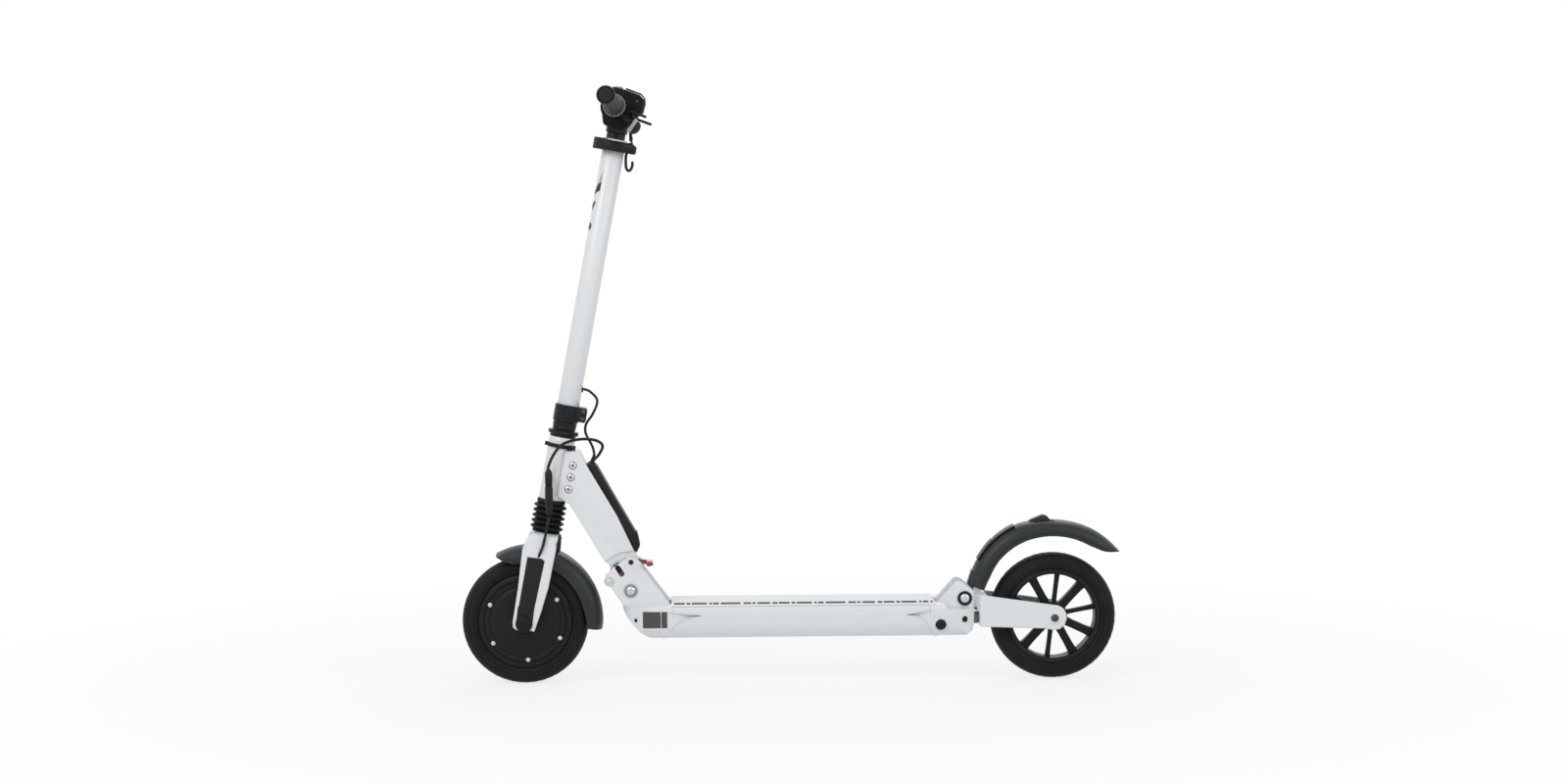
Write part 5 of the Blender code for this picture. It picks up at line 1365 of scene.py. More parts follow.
@dataclass
class Cockpit:
    """The handlebar pod with its display, the two folding grips, thumb levers, key and bell.

    Attributes:
        half: Half the pod's width.
        knuckle: Distance from the middle to a grip's hinge.
        bar_half: Distance from the middle to a grip's end.
        strap: Where the bell's strap lies along the bar.
        bell_y: Where the bell's middle is.
    """

    half: float = 36.0
    knuckle: float = 78.0
    bar_half: float = 268.0
    strap: tuple[float, float] = (-59.3, -54.3)
    bell_y: float = -66.0

    def bar_point(self, side: int, y: float) -> Vector:
        """Return the point of a grip's own line at a distance from the scooter's middle."""
        out = y - self.knuckle
        return steer(-7.2 - 0.059 * out, S_BAR + 0.06 * out, side * y)

    def pod(self) -> None:
        """Soften the pod and ring its bar stub where the levers turn."""
        shape = Shape().node("handlebar_pod")
        shape.caps([(13.2, 14.4), (22.8, 14.4), (23.5, 15.0), (23.5, 17.3), (22.8, 17.8), (13.2, 17.8)], BAR,
                   self.half)
        shape.caps([(13.2, 24), (15.4, 24), (15.8, 24.5), (15.8, 27.5), (15.2, 28), (13.2, 28)], BAR,
                   self.half)
        stand_in(shape, "handlebar_pod", Look.GLOSS_CASE, soft=1.6, segments=4, smooth=40)
        skin("display_cover", Look.GLASS, 0.4)
        skin("power_button", Look.GREY_PLASTIC, 0.5)
        trim = steered(S_CLAMP, (35.0, 58.4), (36.6, 74.3), (34.3, 83.2), (33.5, 82.6), (35.6, 74.2),
                       (34.1, 58.6))
        shape = Shape().twins(trim, self.half - 8.0, self.half - 6.6, soft=0.2)
        shape.piece("display_trim", "mast", Look.DARK_STEEL, "display_glass", smooth=35)
        seats = both_sides(*steered(S_CLAMP, (24, 76), (22, 53), (-20, 70)), reach=self.half - 0.2)
        screw_set("pod_screws", "mast", Look.DARK_STEEL, "black_plastic", seats, 2.3, 1.0, 1.1)

    def grip(self, side: int) -> None:
        """Make one grip: hinge ball, ribbed collar and knurled sleeve.

        Args:
            side: -1 for the rider's left.
        """
        tag = "left" if side < 0 else "right"
        start = self.bar_point(side, self.knuckle)
        end = self.bar_point(side, self.bar_half)
        line = (end - start).normalized()
        length = (end - start).length
        ball = [(10.8 * math.sin(math.radians(a)), -10.8 * math.cos(math.radians(a)))
                for a in range(0, 91, 10)]
        profile = ball + [(10.8, 8.4), (10.2, 9.2), (10.0, 12), (10, length - 3), (0, length - 3)]
        stand_in(Shape().lathe(profile, start, line, 48), "grip_bar_" + tag, Look.BLACK_METAL, smooth=35)
        collar = [(10.3, 16.3), (17.0, 16.3), (17.8, 17.1), (17.8, 21.2), (16.9, 22), (10.3, 22)]
        shape = Shape().lathe(collar, start, line, 128)

        def rib(point: Vector) -> Vector:
            foot = start + line * (point - start).dot(line)
            out = point - foot
            if out.length < 17.2:
                return point
            turn = math.atan2(out.cross(line).dot(STEER_UP), out.dot(STEER_UP))
            return foot + out * (1 - 0.035 * (math.cos(turn * 16) > 0.25))

        stand_in(shape.warp(rib), "grip_collar_" + tag, Look.GREY_PLASTIC)
        sleeve = [(10.3, 22.3), (15.6, 22.3), (15.9, 22.9), (15.6, 24), (14.6, 27), (13.5, 30), (13.3, 33)]
        rings = 26
        for k in range(rings + 1):
            at = 34 + (length - 50) * k / rings
            sleeve += [(13.3, at), (13.3, at + 1.9), (12.9, at + 2.3), (12.9, at + 3.1), (13.3, at + 3.5)]
        sleeve = [pair for pair in sleeve if pair[1] < length - 12]
        sleeve += [(13.6, length - 11), (14.2, length - 8.5), (14.4, length - 5), (14.2, length - 2),
                   (13.4, length - 0.2), (12.2, length), (11.6, length - 1.0), (10.3, length - 1.0)]
        stand_in(Shape().lathe(sleeve, start, line, 72), "grip_sleeve_" + tag, Look.RUBBER)
        plug = [(0, length - 3), (10.2, length - 3), (11.4, length - 0.8), (10.6, length - 0.2),
                (4.4, length + 0.1), (3.6, length - 0.5), (0, length - 0.5)]
        Shape().lathe(plug, start, line, 64).piece("grip_plug_" + tag, tag + "_grip", Look.CASE,
                                                   "black_rubber")

    def lever(self, node: str, side: int, root: tuple[float, float], tip: tuple[float, float]) -> None:
        """Make one thumb lever: a hub ring, a waisted arm and a thin rounded paddle.

        Args:
            node: The CAD node.
            side: -1 for the rider's left.
            root: Where its paddle begins, aft of and above the bar.
            tip: Where its paddle ends.
        """
        seat = self.half + 0.6
        shape = Shape().lathe([(13.3, 0), (16.9, 0), (17.5, 0.6), (17.5, 11.6), (16.8, 12.4), (13.3, 12.4)],
                              BAR + Y * side * seat, Y * side, 72)
        start, end = (BAR + STEER_AFT * a + STEER_UP * u for a, u in (root, tip))
        line = (end - start).normalized()
        out = line.cross(Y)
        ring = [BAR + Matrix.Rotation(math.radians(turn), 3, Y) @ (start - BAR).normalized() * 16.4
                for turn in (22, -22)]
        ring.sort(key=lambda point: point.dot(out))
        outline = [ring[1], start + out * 2.1, end + out * 2.1, end + out * 1.4 + line * 1.6,
                   end + line * 2.1, end - out * 1.4 + line * 1.6, end - out * 2.1, start - out * 2.1,
                   ring[0]]
        low, high = sorted((side * (seat + 0.6), side * (seat + 12.9)))
        shape.prism(outline, low, high, soft=0.9, segments=3)
        stand_in(shape, node, Look.CASE, smooth=35)

    def bell(self) -> None:
        """Make the bell: strap, arm, base ring, dome and striker."""
        low, high = self.strap
        shape = Shape().lathe([(13.3, low), (15.8, low), (15.8, high), (13.3, high)], BAR, Y, 64)
        arm = steered(S_CLAMP, (2, 50), (8, 52), (25, 44), (24, 26), (20, 26), (18, 38))
        shape.prism(arm, self.bell_y + 2, high, soft=1.0)
        lug = steered(S_CLAMP, (20, 29), (24, 29), (28.5, 17), (28.5, 12), (23.5, 12))
        shape.prism(lug, -61.7, -57.5, soft=0.6)
        seat = steer(24.4, S_CLAMP + 36.7, self.bell_y)
        axis = (STEER_AFT * 0.915 - STEER_UP * 0.40).normalized()
        stand_in(shape, "bell", Look.CASE, smooth=32)
        band = [(0, -3), (11.2, -3), (12, -2.3), (12, 2.2), (11.4, 3), (0, 3)]
        Shape().lathe(band, seat, axis, 72).piece("bell_band", "mast", Look.PALE_METAL, "chrome", smooth=32)
        dome = [(0, 2.4), (10.6, 2.4), (10.9, 3.4)]
        dome += [(10.9 * math.cos(math.radians(a)), 5 + 8 * math.sin(math.radians(a)))
                 for a in (0, 15, 30, 45, 60, 75)]
        Shape().lathe(dome + [(0, 13)], seat, axis, 72).piece("bell_dome", "mast", Look.CASE, "chrome",
                                                              smooth=40)
        start = steer(26, S_CLAMP + 14.5, self.bell_y)
        tab = steered(S_CLAMP, (24.5, 15), (27.5, 15), (30.5, 9.5), (28, 8.5))
        striker = Shape().lathe([(0, -4), (1.6, -4), (2, -3.6), (2, 3.6), (1.6, 4), (0, 4)], start, Y, 32)
        stand_in(striker.prism(tab, self.bell_y - 2, self.bell_y + 2, soft=0.6), "bell_striker", Look.CASE,
                 smooth=35)

    def build(self) -> None:
        """Make the whole cockpit."""
        self.pod()
        for side in SIDES:
            self.grip(side)
        self.lever("brake_lever", -1, (23.5, -2.2), (48.5, -7.0))
        self.lever("throttle_lever", 1, (30, -11), (57, -15.8))
        self.bell()


@dataclass
class FoldJoint:
    """The folding joint: its bracket, bolt, stop barrel, lock pin and red release pedal.

    Attributes:
        cheek: Distance from the middle to a cheek's outer face.
        lock_seat: Where the lock pin rests.
        pedal_hinge: Where the pedal turns.
    """

    cheek: float = 31.0
    lock_seat: Vector = field(default_factory=lambda: PIVOT + Vector((-14, 0, 26.7)))
    pedal_hinge: Vector = field(default_factory=lambda: PIVOT + Vector((0.7, 0, 45.3)))

    def bolts(self) -> None:
        """Turn the pivot bolt over its grey ring, and the stop barrel's ringed screws."""
        head = [(0, 2.2), (3.4, 2.2), (3.7, 4.2), (4.8, 4.3), (6.2, 3.6), (7.0, 2.5), (7.0, 1.6), (6, 1.6)]
        shape = Shape().lathe(bolt(self.cheek + 0.3, head), PIVOT, steps=64)
        stand_in(shape, "fold_bolt", Look.STEEL)
        ring = [(6.4, 0), (11, 0), (11, 0.9), (10.2, 1.7), (8.3, 1.9), (7.6, 1.3), (6.4, 1.3)]
        shape = Shape().caps(ring, PIVOT, self.cheek + 0.05)
        shape.piece("fold_ring", "deck", Look.PALE_METAL, "bright_steel", smooth=35)
        stop, reach = PIVOT + Vector((-34, 0, 14.8)), self.cheek + 0.9
        ring = [(4.6, 0), (7.5, 0), (7.5, 0.5), (6.9, 1.0), (5.2, 1.0), (4.6, 0.5)]
        Shape().caps(ring, stop, reach, 64).piece("stop_rings", "deck", Look.BRASS, "bright_steel", smooth=35)
        screw_set("stop_screws", "deck", Look.STEEL, "bright_steel", both_sides(stop, reach=reach), 3.9, 1.3,
                  2.0)

    def lock(self) -> None:
        """Turn the lock pin and hang a dark plate behind the slot, painted shade inside the slot."""
        pin = bolt(self.cheek + 0.6, [(0, 0), (1.6, 0), (1.9, -0.5), (3.2, 0), (4, -0.8)], [(4, -20)])
        stand_in(Shape().lathe(pin, self.lock_seat, steps=40), "lock_pin",
                 Look.RUST_STEEL, smooth=35)
        # the dark plate behind the slot is painted shade: it makes the slot's inside read black
        slope = Vector((-0.54, 0, 0.84)).normalized()
        across = Vector((slope.z, 0, -slope.x))
        plate = [self.lock_seat + slope * a + across * b for a, b in ((-16, -5), (18, -5), (18, 5), (-16, 5))]
        Shape().prism(plate, -24.6, -23.9, soft=0.2).piece("slot_shade_plate", "lock", Look.CABLE, "bright_steel",
                                                           smooth=35)

    def build(self) -> None:
        """Make the whole joint."""
        hidden = [Vector((x, 0, z)) for x, z in ((140, 119), (156.3, 119), (163.3, 107.9), (175.4, 93.1),
                                                 (187.1, 82.9), (200, 75.8), (110, 60), (110, 119))]
        shape = Shape().node("fold_bracket").carve(Shape().prism(hidden, -40, 40))
        stand_in(shape, "fold_bracket", Look.WHITE_PAINT, soft=0.9, segments=3, smooth=35)
        self.bolts()
        self.lock()
        skin("release_pedal", Look.RED_PAINT, 0.9, 3)
        head = [(0, 0), (3.3, 0), (3.9, 0.4), (3.9, 1.1), (3.3, 1.6), (0, 1.8)]
        Shape().lathe(head, self.pedal_hinge - Y * (self.cheek + 0.05), -Y, 40).piece(
            "pedal_pin", "pedal", Look.CABLE, "red_paint", smooth=35)


@dataclass
class Deck:
    """The deck: shell, cast nose and tail with hollow leaves, grit sheet, printed strip and small parts.

    Attributes:
        depth: Depth of the leaves at their tips.
        flush: Distance from the middle to the surface that they begin in.
        print_at: Where the printed strip lies across the grit sheet, from its middle.
        strip: Where it begins and ends.
        mat_top: Height of the grit sheet's top.
        pad: How far the pad under the plate stands out of the nose.
        pad_end: Where it runs into the casting's rim.
    """

    depth: float = 13.0
    flush: float = 71.7
    print_at: tuple[float, float] = (26.0, 49.0)
    strip: tuple[float, float] = (236.0, 646.0)
    mat_top: float = 127.6
    pad: float = 1.6
    pad_end: float = 215.95

    def section(self, grow: float) -> list[Vector]:
        """Return the shell's cross-section, made larger all round."""
        half = [(66 + 0.7 * grow, 125.8 + grow), (70 + grow, 120.8), (70 + grow, 110.8), (67 + grow, 94.8),
                (62 + grow, 82.3), (56 + 0.7 * grow, 76.3 - grow)]
        return [Vector((0, y, z)) for y, z in half + [(-y, z) for y, z in reversed(half)]]

    def scoop(self, outline: Sequence[tuple[float, float]], start: float, tip: float, depth: float) -> Shape:
        """Make a cutter that hollows both leaves, deepest at their tips.

        Args:
            outline: The leaf's corners as x and z.
            start: Where the hollow begins.
            tip: Where it is deepest.
            depth: How deep it is there.

        Returns:
            The cutter.
        """
        both = Shape()
        for side in SIDES:
            curve = []
            for part in (i / 14 for i in range(15)):
                curve.append(Vector((start + (tip - start) * part, side * (self.flush - depth * part ** 1.2),
                                     0)))
            out = [Vector((tip + (tip - start) * 0.2, curve[-1].y, 0)),
                   Vector((tip + (tip - start) * 0.2, side * 95, 0)), Vector((start, side * 95, 0))]
            wedge = Shape().prism(curve + out, 60, 130, along=Z)
            leaf = [Vector((x, 0, z)) for x, z in outline]
            both.join(wedge.carve(Shape().prism(leaf, *sorted((side * 55, side * 99))), "INTERSECT"))
        return both

    def lining(self, cut: tuple, low: float, high: float) -> Shape:
        """Make the blocks behind both leaves that their hollows end in.

        Args:
            cut: The cutter's arguments.
            low: Where the blocks begin.
            high: Where they end.

        Returns:
            The blocks, hollowed too.
        """
        both = Shape()
        for side in SIDES:
            block = [Vector((x, 0, z)) for x, z in ((low, 84), (high, 84), (high, 119), (low, 119))]
            block = Shape().prism(block, *sorted((side * 52, side * 68.5)))
            block.carve(Shape().prism(self.section(-0.5), 180, 720, along=X), "INTERSECT")
            both.join(block.carve(Shape().node("deck_shell")).carve(self.scoop(*cut)))
        return both

    def castings(self) -> None:
        """Hollow the leaves out of the castings and the shell beneath them."""
        nose = ((224, 118.6), (256, 115.2), (278.6, 112.7), (279.2, 111.9), (256, 109.2), (241, 102.4),
                (230, 91), (224, 88))
        tail = ((650, 117.6), (639, 117.6), (617, 114.2), (603.4, 111.2), (603, 110.4), (621, 108.9),
                (634, 100.4), (641, 90), (650, 86))
        cuts = [(nose, 225.0, 279.0, self.depth), (tail, 649.0, 603.0, self.depth)]
        for node, cut in zip(("deck_nose", "deck_tail"), cuts):
            shape = Shape().node(node).carve(self.scoop(*cut))
            stand_in(shape, node, Look.WHITE_PAINT, soft=0.8, segments=3, smooth=35)
        shape = Shape().node("deck_shell")
        for cut, side, low, high in zip(cuts, ("front", "rear"), (235.6, 600), (282, 639.4)):
            shape.carve(self.scoop(*cut))
            self.lining(cut, low, high).piece("leaf_lining_" + side, "deck", Look.WHITE_PAINT, "white_paint",
                                              smooth=35)
        stand_in(shape, "deck_shell", Look.WHITE_PAINT, soft=0.7, segments=3, smooth=35)

    def label(self) -> None:
        """Fix a bare ruled plate on the nose's left side and follow its curve."""
        def lift(point: Vector) -> Vector:
            return point + Y * (self.pad if point.x < self.pad_end else 0)

        for side in SIDES:
            pad = Shape().sheet((183, self.pad_end), (88.5, 121), self.pad, 24, 12).drape("deck_nose", side)
            pad.piece("nose_pad_left" if side < 0 else "nose_pad_right", "deck", Look.WHITE_PAINT,
                      "white_paint", smooth=40)
        plate = Shape().sheet((187.2, 225.6), (93.2, 119.2), 0.35, 48, 12).warp(lift).drape("deck_nose", -1)
        plate.piece("blank_plate", "deck", Look.PLATE, "white_paint")
        rules = Shape()
        for k in range(7):
            z = 97.0 + 3.1 * k
            rules.sheet((190, 222.8 if k % 3 else 212.0), (z, z + 0.5), 0.45, 40, 1)
        rules.warp(lift).drape("deck_nose", -1).piece("plate_rules", "deck", Look.PRINT, "white_paint")

    def dashes(self) -> None:
        """Print a strip of plain blocks along the grit sheet's left side."""
        low, high = self.mat_top - 0.05, self.mat_top + 0.1
        inner, outer = -self.print_at[0], -self.print_at[1]
        lengths, gaps = (17, 6, 24, 4, 9, 31, 12, 5, 20, 8), (3, 2, 4, 2, 3, 5, 2, 3, 4, 2)
        shape, at, k = Shape(), self.strip[0], 0
        while at < self.strip[1]:
            far = min(at + lengths[k % 10], self.strip[1])
            block = ((inner, low), (outer, low), (outer, high), (inner, high))
            shape.prism([Vector((at, y, z)) for y, z in block], 0, far - at, along=X)
            at = far + gaps[k % 10]
            k += 1
        shape.piece("deck_dashes", "deck", Look.PRINT, "white_paint")

    def small_parts(self) -> None:
        """Set the screws in the castings and the charging port's cap."""
        screws = Shape()
        for node, x, z, size in (("deck_nose", 176.4, 104.7, 2.8), ("deck_tail", 694.7, 102.1, 4.9)):
            for side in SIDES:
                at, out = on_side(node, x, z, side)
                screws.socket_head(at - out * 0.1, out, size, 1.4, size * 0.5, 0.4)
        screws.piece("casting_screws", "deck", Look.CABLE, "white_paint")
        port = Vector((656.4, -65.5, 94.4))
        cap = [(0, -5.6), (2.2, -5.6), (2.6, -4.9), (4.6, -4.9), (5.2, -4.4), (6.4, -4.4), (7.6, -3.9),
               (8.2, -3), (8.2, 0), (5.6, 0), (5.6, 7), (0, 7)]
        stand_in(Shape().lathe(cap, port, steps=64), "charge_plug", Look.CASE)

    def build(self) -> None:
        """Make the whole deck."""
        self.castings()
        self.label()
        self.dashes()
        self.small_parts()
        skin("deck_mat", Look.GRIT, 0.4)
        skin("battery_pack", Look.WRAP, 1.5)


@dataclass
class Tail:
    """The rear bracket, the swinging arm, its rubber buffer and their bolts.

    Attributes:
        cheek: Distance from the middle to the bracket's outer face.
        arm: Distance to the arm's outer face.
    """

    cheek: float = 33.0
    arm: float = 42.0

    def bolts(self) -> None:
        """Turn the pivot's silver bolt and black ring, and the axle's dark bolts."""
        head = [(0, 2.4), (3.4, 2.4), (3.7, 4.0), (5.2, 4.1), (6.6, 3.4), (7.2, 2.5), (7.2, 1.7), (6, 1.7)]
        shape = Shape().lathe(bolt(self.cheek + 0.3, head), TAIL_PIVOT, steps=64)
        stand_in(shape, "tail_bolt", Look.STEEL)
        head = [(0, 2.0), (2.6, 2.0), (2.9, 3.6), (4.6, 3.6), (5.5, 3.0), (5.6, 1.2), (6, 1.2)]
        shape = Shape().lathe(bolt(self.arm + 0.3, head), REAR_AXLE, steps=64)
        stand_in(shape, "rear_axle", Look.DARK_STEEL)
        ring = [(6.4, 0), (11.6, 0), (11.6, 1.2), (10.8, 2.0), (8.6, 2.1), (7.8, 1.4), (6.4, 1.4)]
        shape = Shape().caps(ring, TAIL_PIVOT, self.cheek + 0.05)
        shape.piece("tail_rings", "deck", Look.CABLE, "bright_steel", smooth=35)
        washer = [(6.2, 0), (9.6, 0), (9.6, 0.7), (9, 1.2), (6.2, 1.2)]
        shape = Shape().caps(washer, REAR_AXLE, self.arm + 0.05, 64)
        shape.piece("axle_washers", "swingarm", Look.WHITE_PAINT, "white_paint", smooth=35)
        seats = both_sides(Vector((714.6, 0, 114.6)), reach=26.4)
        screw_set("arm_screws", "swingarm", Look.DARK_STEEL, "white_paint", seats, 2.3, 1.0, 1.1)

    def build(self) -> None:
        """Make the bracket, arm and bolts."""
        stand_in(Shape().node("tail_bracket"), "tail_bracket", Look.WHITE_PAINT, soft=0.9, segments=3,
                 smooth=35)
        stand_in(Shape().node("swingarm"), "swingarm", Look.WHITE_PAINT, soft=1.2, segments=3, smooth=35)
        self.bolts()
        buffer = skin("rear_elastomer", Look.ELASTOMER, 0)
        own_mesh(buffer)


@dataclass
class RearWheel:
    """The spoked rear wheel.

    Attributes:
        spokes: Which of its spokes are thick.
        thin: Width and depth of a thin spoke.
        thick: Width and depth of a thick spoke.
    """

    spokes: Sequence[bool] = (False, True, False, True, True, False, True, True, False, True)
    thin: tuple[float, float] = (7.0, 12.0)
    thick: tuple[float, float] = (12.6, 20.0)

    def spoke(self, shape: Shape, turn: float, width: float, depth: float) -> None:
        """Add one flared spoke.

        Args:
            shape: The rim's shape.
            turn: Its angle.
            width: Its width in the middle.
            depth: Its depth along the axle.
        """
        half = width / 2
        side = ((17.5, half * 1.25), (23, half * 1.06), (34, half * 0.98), (52, half), (62, half * 1.08),
                (66, half * 1.22), (69, half * 1.5))
        flat = [(r, w) for r, w in side] + [(r, -w) for r, w in reversed(side)]
        outline = [around(REAR_AXLE, math.hypot(r, w), turn + math.degrees(math.atan2(w, r)))
                   for r, w in flat]
        shape.prism(outline, -depth / 2, depth / 2, soft=1.6, segments=3)

    def build(self) -> None:
        """Make the tyre, rim, spokes, hub and bearing sleeve."""
        Tyre("rear_tyre", REAR_AXLE, 45).build()
        half = [(67.6, -19.2), (68.4, -19.8), (73.2, -20.4), (74.4, -19.6), (74.7, -18)]
        inner = [(67.0, 17.8), (66.6, 15), (66.9, 6), (67.2, 0), (66.9, -6), (66.6, -15), (67.0, -17.8)]
        shape = Shape().lathe(both_ends(half) + inner, REAR_AXLE, steps=160)
        for k, wide in enumerate(self.spokes):
            self.spoke(shape, 83 + 36 * k, *(self.thick if wide else self.thin))
        half = [(12.8, -25.4), (13.4, -26), (15.8, -26), (16.8, -25.2), (17.4, -18), (19, -15.2), (22, -14),
                (22.7, -13)]
        shape.lathe(both_ends(half), REAR_AXLE, steps=72)
        stand_in(shape, "rear_rim", Look.HUB_BLACK, smooth=35)
        skin("rear_bearing_cartridge", Look.BEARING, 0.3)


class RearFender(Fender):
    """The rear mudguard with its brake shoe, hinge tongue, top strips and hook catch."""

    def __init__(self) -> None:
        """Size it from the photograph."""
        super().__init__("rear_fender", REAR_AXLE, 26.5, 1.8,
                         outer=[(44.5, 147.8), (54.4, 149.6), (64.6, 151.4), (75.6, 152.2), (90, 153),
                                (100.9, 154.8), (110, 156.4), (116.5, 156.2), (124, 155.4), (132, 153.6),
                                (142.6, 150.4), (159, 144.8)],
                         inner=[(44.5, 146.6), (47.9, 137.4), (51, 132), (54, 129.2), (62.1, 126.2),
                                (76.1, 127.5), (93.7, 128.3), (108.2, 128.4), (119.2, 127.4), (133.6, 124.6),
                                (147.7, 119.5), (159, 118.4)], crease=(0.2,))

    def band(self, start: float, end: float, low: float, high: float) -> list[Vector]:
        """Return the outline of a strip that follows the crown.

        Args:
            start: First angle.
            end: Last angle.
            low: Height of its underside over the crown.
            high: Height of its top at the start; it thins towards the end.

        Returns:
            Its corners.
        """
        turns = [start + (end - start) * i / 12 for i in range(13)]
        top = [around(REAR_AXLE, ladder(self.outer, t) + high * (1 - 0.6 * i / 12), t)
               for i, t in enumerate(turns)]
        foot = [around(REAR_AXLE, ladder(self.outer, t) + low, t) for t in turns]
        return top + foot[::-1]

    def build(self) -> None:
        """Make the mudguard and everything on it."""
        shape = self.shape()
        tongue = ((-6, 0), (-5, -3), (-4, -4.5), (0, -6), (5, -5), (12, 8), (16, 22), (-7, 30), (-14, 8))
        shape.prism(corners(FENDER_HINGE, *tongue), -11.5, 11.5, soft=1.0)
        for start, end in ((128.2, 143), (113, 127.9)):
            shape.prism(self.band(start, end, -1.2, 1.5), -15, 15, soft=0.7)
        catch = corners(REAR_AXLE, (-40, 148.6), (-34, 153.4), (-17, 160.2), (-13.5, 160.6), (-8, 158.2),
                        (-2.6, 151.6), (-12, 149), (-36, 146))
        shape.prism(catch, -8, 8, soft=0.9, segments=3)
        stand_in(shape, self.node, Look.FENDER, smooth=45)
        skin("brake_shoe", Look.RUBBER, 0.6)


@dataclass
class Cables:
    """The display cable and the motor's cable with its connector.

    Attributes:
        radius: Radius of a cable.
    """

    radius: float = 2.4

    def display(self) -> None:
        """Run the display cable from the stem's outlet to the controller."""
        foot = steer(52, S_HEAD_TOP - 32.4)
        points = steered(S_STEM, (16.6, 62.6), (18.9, 64.5), (31, 62), (44, 50), (40.5, 28), (33.2, 11),
                         (35, -4), (48.5, -22), (54, -35)) + [foot + STEER_UP * 4, foot]
        obj = Shape().tube(smooth_path(points, 2.0), 2.1, 20).piece("display_cable_form", "", Look.CABLE,
                                                                    "black_rubber", ("display_cable",), 60)
        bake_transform(obj)

    def motor(self) -> None:
        """Run the motor's cable from the controller over the head to the connector, and on to the fork."""
        out = -35.0
        top, bottom = steer(-12, S_HEAD_TOP - 52.3, out), steer(2, S_HEAD_TOP - 124, out - 0.5)
        line = (bottom - top).normalized()
        start = steer(55, S_HEAD_TOP - 32.2, -8)
        over = steered(S_HEAD_TOP, (62, -16, -10), (65, -2, -14), (55, 5, -20), (36, 5, -27),
                       (16, -1, out + 3.5), (0, -12, out + 1.5), (-9, -30, out + 0.5))
        upper = [start, start + STEER_UP * 5, *over, top - line * 5, top]
        stand_in(Shape().tube(smooth_path(upper, 2.0), self.radius, 20), "motor_cable", Look.CABLE, smooth=60)
        length = (bottom - top).length
        plug = [(0, -0.5), (2.9, -0.5), (3.4, 0), (4.0, 0.8), (5.4, 4.2), (5.9, 6), (5.9, 21.4), (5.6, 22)]
        for k in range(4):
            plug += [(5.1, 22.6 + 1.5 * k), (5.1, 23.2 + 1.5 * k), (5.8, 23.5 + 1.5 * k),
                     (5.8, 23.9 + 1.5 * k)]
        plug += [(6.2, 29.2), (6.2, length - 18), (5.7, length - 10), (5.0, length - 4), (4.0, length - 1),
                 (3, length + 0.5), (0, length + 0.5)]
        stand_in(Shape().lathe(plug, top, line, 40), "motor_connector", Look.CASE, smooth=35)
        side = -57.4
        down = steered(S_CROWN, (2.3, 40.2, -42), (2.3, 38, -51), (2.2, 32.5, side), (2.0, 23, side - 0.8),
                       (1.8, 11, side), (1.1, -3, side), (-1.3, -16, side + 1.8), (-3.4, -24, side + 5.4),
                       (-6.0, -36, side + 7.6), (-7.2, -44, side + 8.4))
        lower = [bottom - line * 2, bottom + line * 0.6, *down]
        dense = smooth_path(lower, 2.0)
        cut = min(range(len(dense)), key=lambda k: (dense[k] - lower[6]).length)
        upper = Shape().tube(dense[:cut + 1], 2.2, 20).piece("motor_lead_top", "", Look.CABLE, "black_rubber",
                                                             (), 60)
        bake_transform(upper)
        foot = Shape().tube(dense[cut:], 2.2, 20).piece("motor_lead_form", "", Look.CABLE, "black_rubber",
                                                        ("motor_lead",), 60)
        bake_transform(foot)

    def build(self) -> None:
        """Run both cables."""
        self.display()
        self.motor()


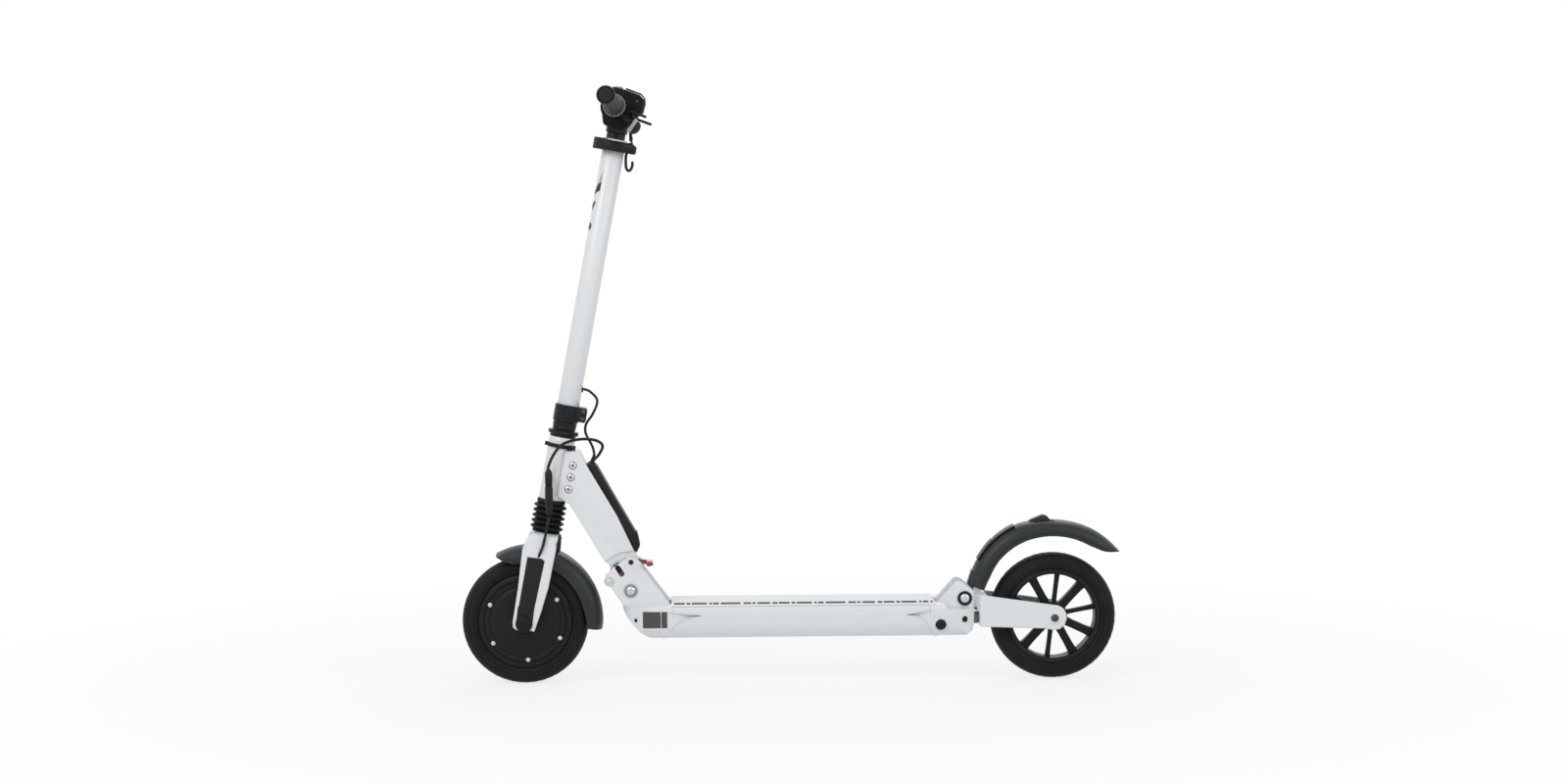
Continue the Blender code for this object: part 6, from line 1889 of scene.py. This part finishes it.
@dataclass
class Studio:
    """The pale floor, the soft light and the camera of the photograph.

    Attributes:
        eye: Where the camera stands, in metres.
        yaw: Its turn towards the rear of the scooter, in degrees.
        pitch: How far it looks down, in degrees.
        roll: Its roll, in degrees.
        reach_px: Focal length in pixels of a picture 1600 wide.
        floor_m: Half the floor's side.
        floor_z: Its height, just under the tyres.
        fade_m: Distances between which the paper turns to plain white for the camera.
        paper_glow: How white the camera sees it nearer than that.
        aim: What the lamps point at.
        sky_light: Strength of the even light.
    """

    eye: Vector = field(default_factory=lambda: Vector((-0.1360, -5.2, 0.790)))
    yaw: float = 1.397
    pitch: float = 3.637
    roll: float = -0.3637
    reach_px: float = 3351.4
    floor_m: float = 14.0
    floor_z: float = -0.0005
    fade_m: tuple[float, float] = (0.5, 1.5)
    paper_glow: float = 0.78
    aim: Colour = (0, 0, 0.4)
    sky_light: float = 0.46

    def camera(self) -> None:
        """Create the camera and make it the scene's own."""
        yaw, pitch, roll = (math.radians(value) for value in (self.yaw, self.pitch, self.roll))
        ahead = Vector((math.sin(yaw) * math.cos(pitch), math.cos(yaw) * math.cos(pitch), -math.sin(pitch)))
        right = Vector((math.cos(yaw), -math.sin(yaw), 0))
        up = right.cross(ahead)
        right, up = right * math.cos(roll) + up * math.sin(roll), up * math.cos(roll) - right * math.sin(roll)
        data = bpy.data.cameras.new("photo_camera")
        data.sensor_width = 36.0
        data.lens = self.reach_px * data.sensor_width / 1600
        data.clip_end = 60.0
        camera = placed("photo_camera", data)
        camera.matrix_world = Matrix.Translation(self.eye) @ Matrix((right, up, -ahead)).transposed().to_4x4()
        bpy.context.scene.camera = camera

    def floor(self) -> None:
        """Lay the pale floor, which the camera sees nearly white but with the shadow kept."""
        bm = bmesh.new()
        bmesh.ops.create_grid(bm, x_segments=8, y_segments=8, size=self.floor_m)
        mesh = bpy.data.meshes.new("studio_floor")
        bm.to_mesh(mesh)
        bm.free()
        floor = placed("studio_floor", mesh)
        floor.location.z = self.floor_z
        graph = Graph("studio_paper")
        graph.shader.inputs["Roughness"].default_value = 0.9
        graph.shader.inputs["Specular IOR Level"].default_value = 0.1
        fibre = graph.span(graph.noise(300, 3), 0.3, 0.7, 0, 1)
        graph.feed(graph.shader.inputs["Base Color"], graph.mix(fibre, (0.885, 0.885, 0.89), (0.9, 0.9, 0.9)))
        path = graph.add("ShaderNodeLightPath").outputs
        seen = graph.maths("MAXIMUM", path["Is Camera Ray"], path["Is Glossy Ray"])
        away = graph.add("ShaderNodeVectorMath", operation="LENGTH")
        graph.feed(away.inputs[0], graph.place)
        share = graph.span(away.outputs["Value"], self.fade_m[0], self.fade_m[1], self.paper_glow, 1.0)
        glow = graph.add("ShaderNodeEmission", color=(1, 1, 1, 1), strength=1.0)
        both = graph.add("ShaderNodeMixShader")
        graph.feed(both.inputs[0], graph.maths("MULTIPLY", seen, share))
        graph.feed(both.inputs[1], graph.shader.outputs[0])
        graph.feed(both.inputs[2], glow.outputs[0])
        graph.feed(graph.tree.nodes["Material Output"].inputs["Surface"], both.outputs[0])
        mesh.materials.append(graph.material)

    def lamp(self, name: str, at: Colour, size: float, power: float) -> None:
        """Hang one soft square lamp that points at the scooter's middle.

        Args:
            name: Its name.
            at: Where it hangs, in metres.
            size: Length of its side.
            power: Its power in watts.
        """
        data = bpy.data.lights.new(name, "AREA")
        data.shape = "SQUARE"
        data.size = size
        data.energy = power
        lamp = placed(name, data)
        lamp.location = at
        lamp.rotation_euler = (Vector(self.aim) - Vector(at)).to_track_quat("-Z", "Y").to_euler()

    def sky(self) -> None:
        """Fill the room with even light, and show plain white behind the scooter."""
        world = bpy.data.worlds.new("studio_sky")
        bpy.context.scene.world = world
        world.use_nodes = True
        tree = world.node_tree
        path = tree.nodes.new("ShaderNodeLightPath").outputs
        background = tree.nodes["Background"]
        background.inputs["Color"].default_value = (1, 1, 1, 1)
        shown = path["Is Camera Ray"]
        for kind in ("Is Transmission Ray", "Is Glossy Ray"):
            either = tree.nodes.new("ShaderNodeMath")
            either.operation = "MAXIMUM"
            tree.links.new(shown, either.inputs[0])
            tree.links.new(path[kind], either.inputs[1])
            shown = either.outputs[0]
        level = tree.nodes.new("ShaderNodeMapRange")
        level.inputs["To Min"].default_value = self.sky_light
        level.inputs["To Max"].default_value = 1.0
        tree.links.new(shown, level.inputs["Value"])
        tree.links.new(level.outputs["Result"], background.inputs["Strength"])

    def build(self) -> None:
        """Set up the whole studio."""
        bpy.context.scene.view_settings.view_transform = "Standard"
        self.camera()
        self.floor()
        self.sky()
        self.lamp("key_light", (-2.2, -2.6, 2.9), 2.2, 56)
        self.lamp("fill_light", (2.6, -2.2, 1.8), 2.0, 25)
        self.lamp("rim_light", (0.4, 2.8, 2.6), 2.4, 36)


def main() -> None:
    """Dress the scooter and set up the studio."""
    for assembly in (FrontWheel(), Fork(), FrontFender(), Headset(), Controller(), Stem(), Clamp(), Cockpit(),
                     FoldJoint(), Deck(), Tail(), RearWheel(), RearFender(), Cables(), Studio()):
        LOG.info("building %s", type(assembly).__name__)
        assembly.build()


if __name__ == "__main__":
    logging.basicConfig(level=logging.INFO, format="%(message)s")
    main()
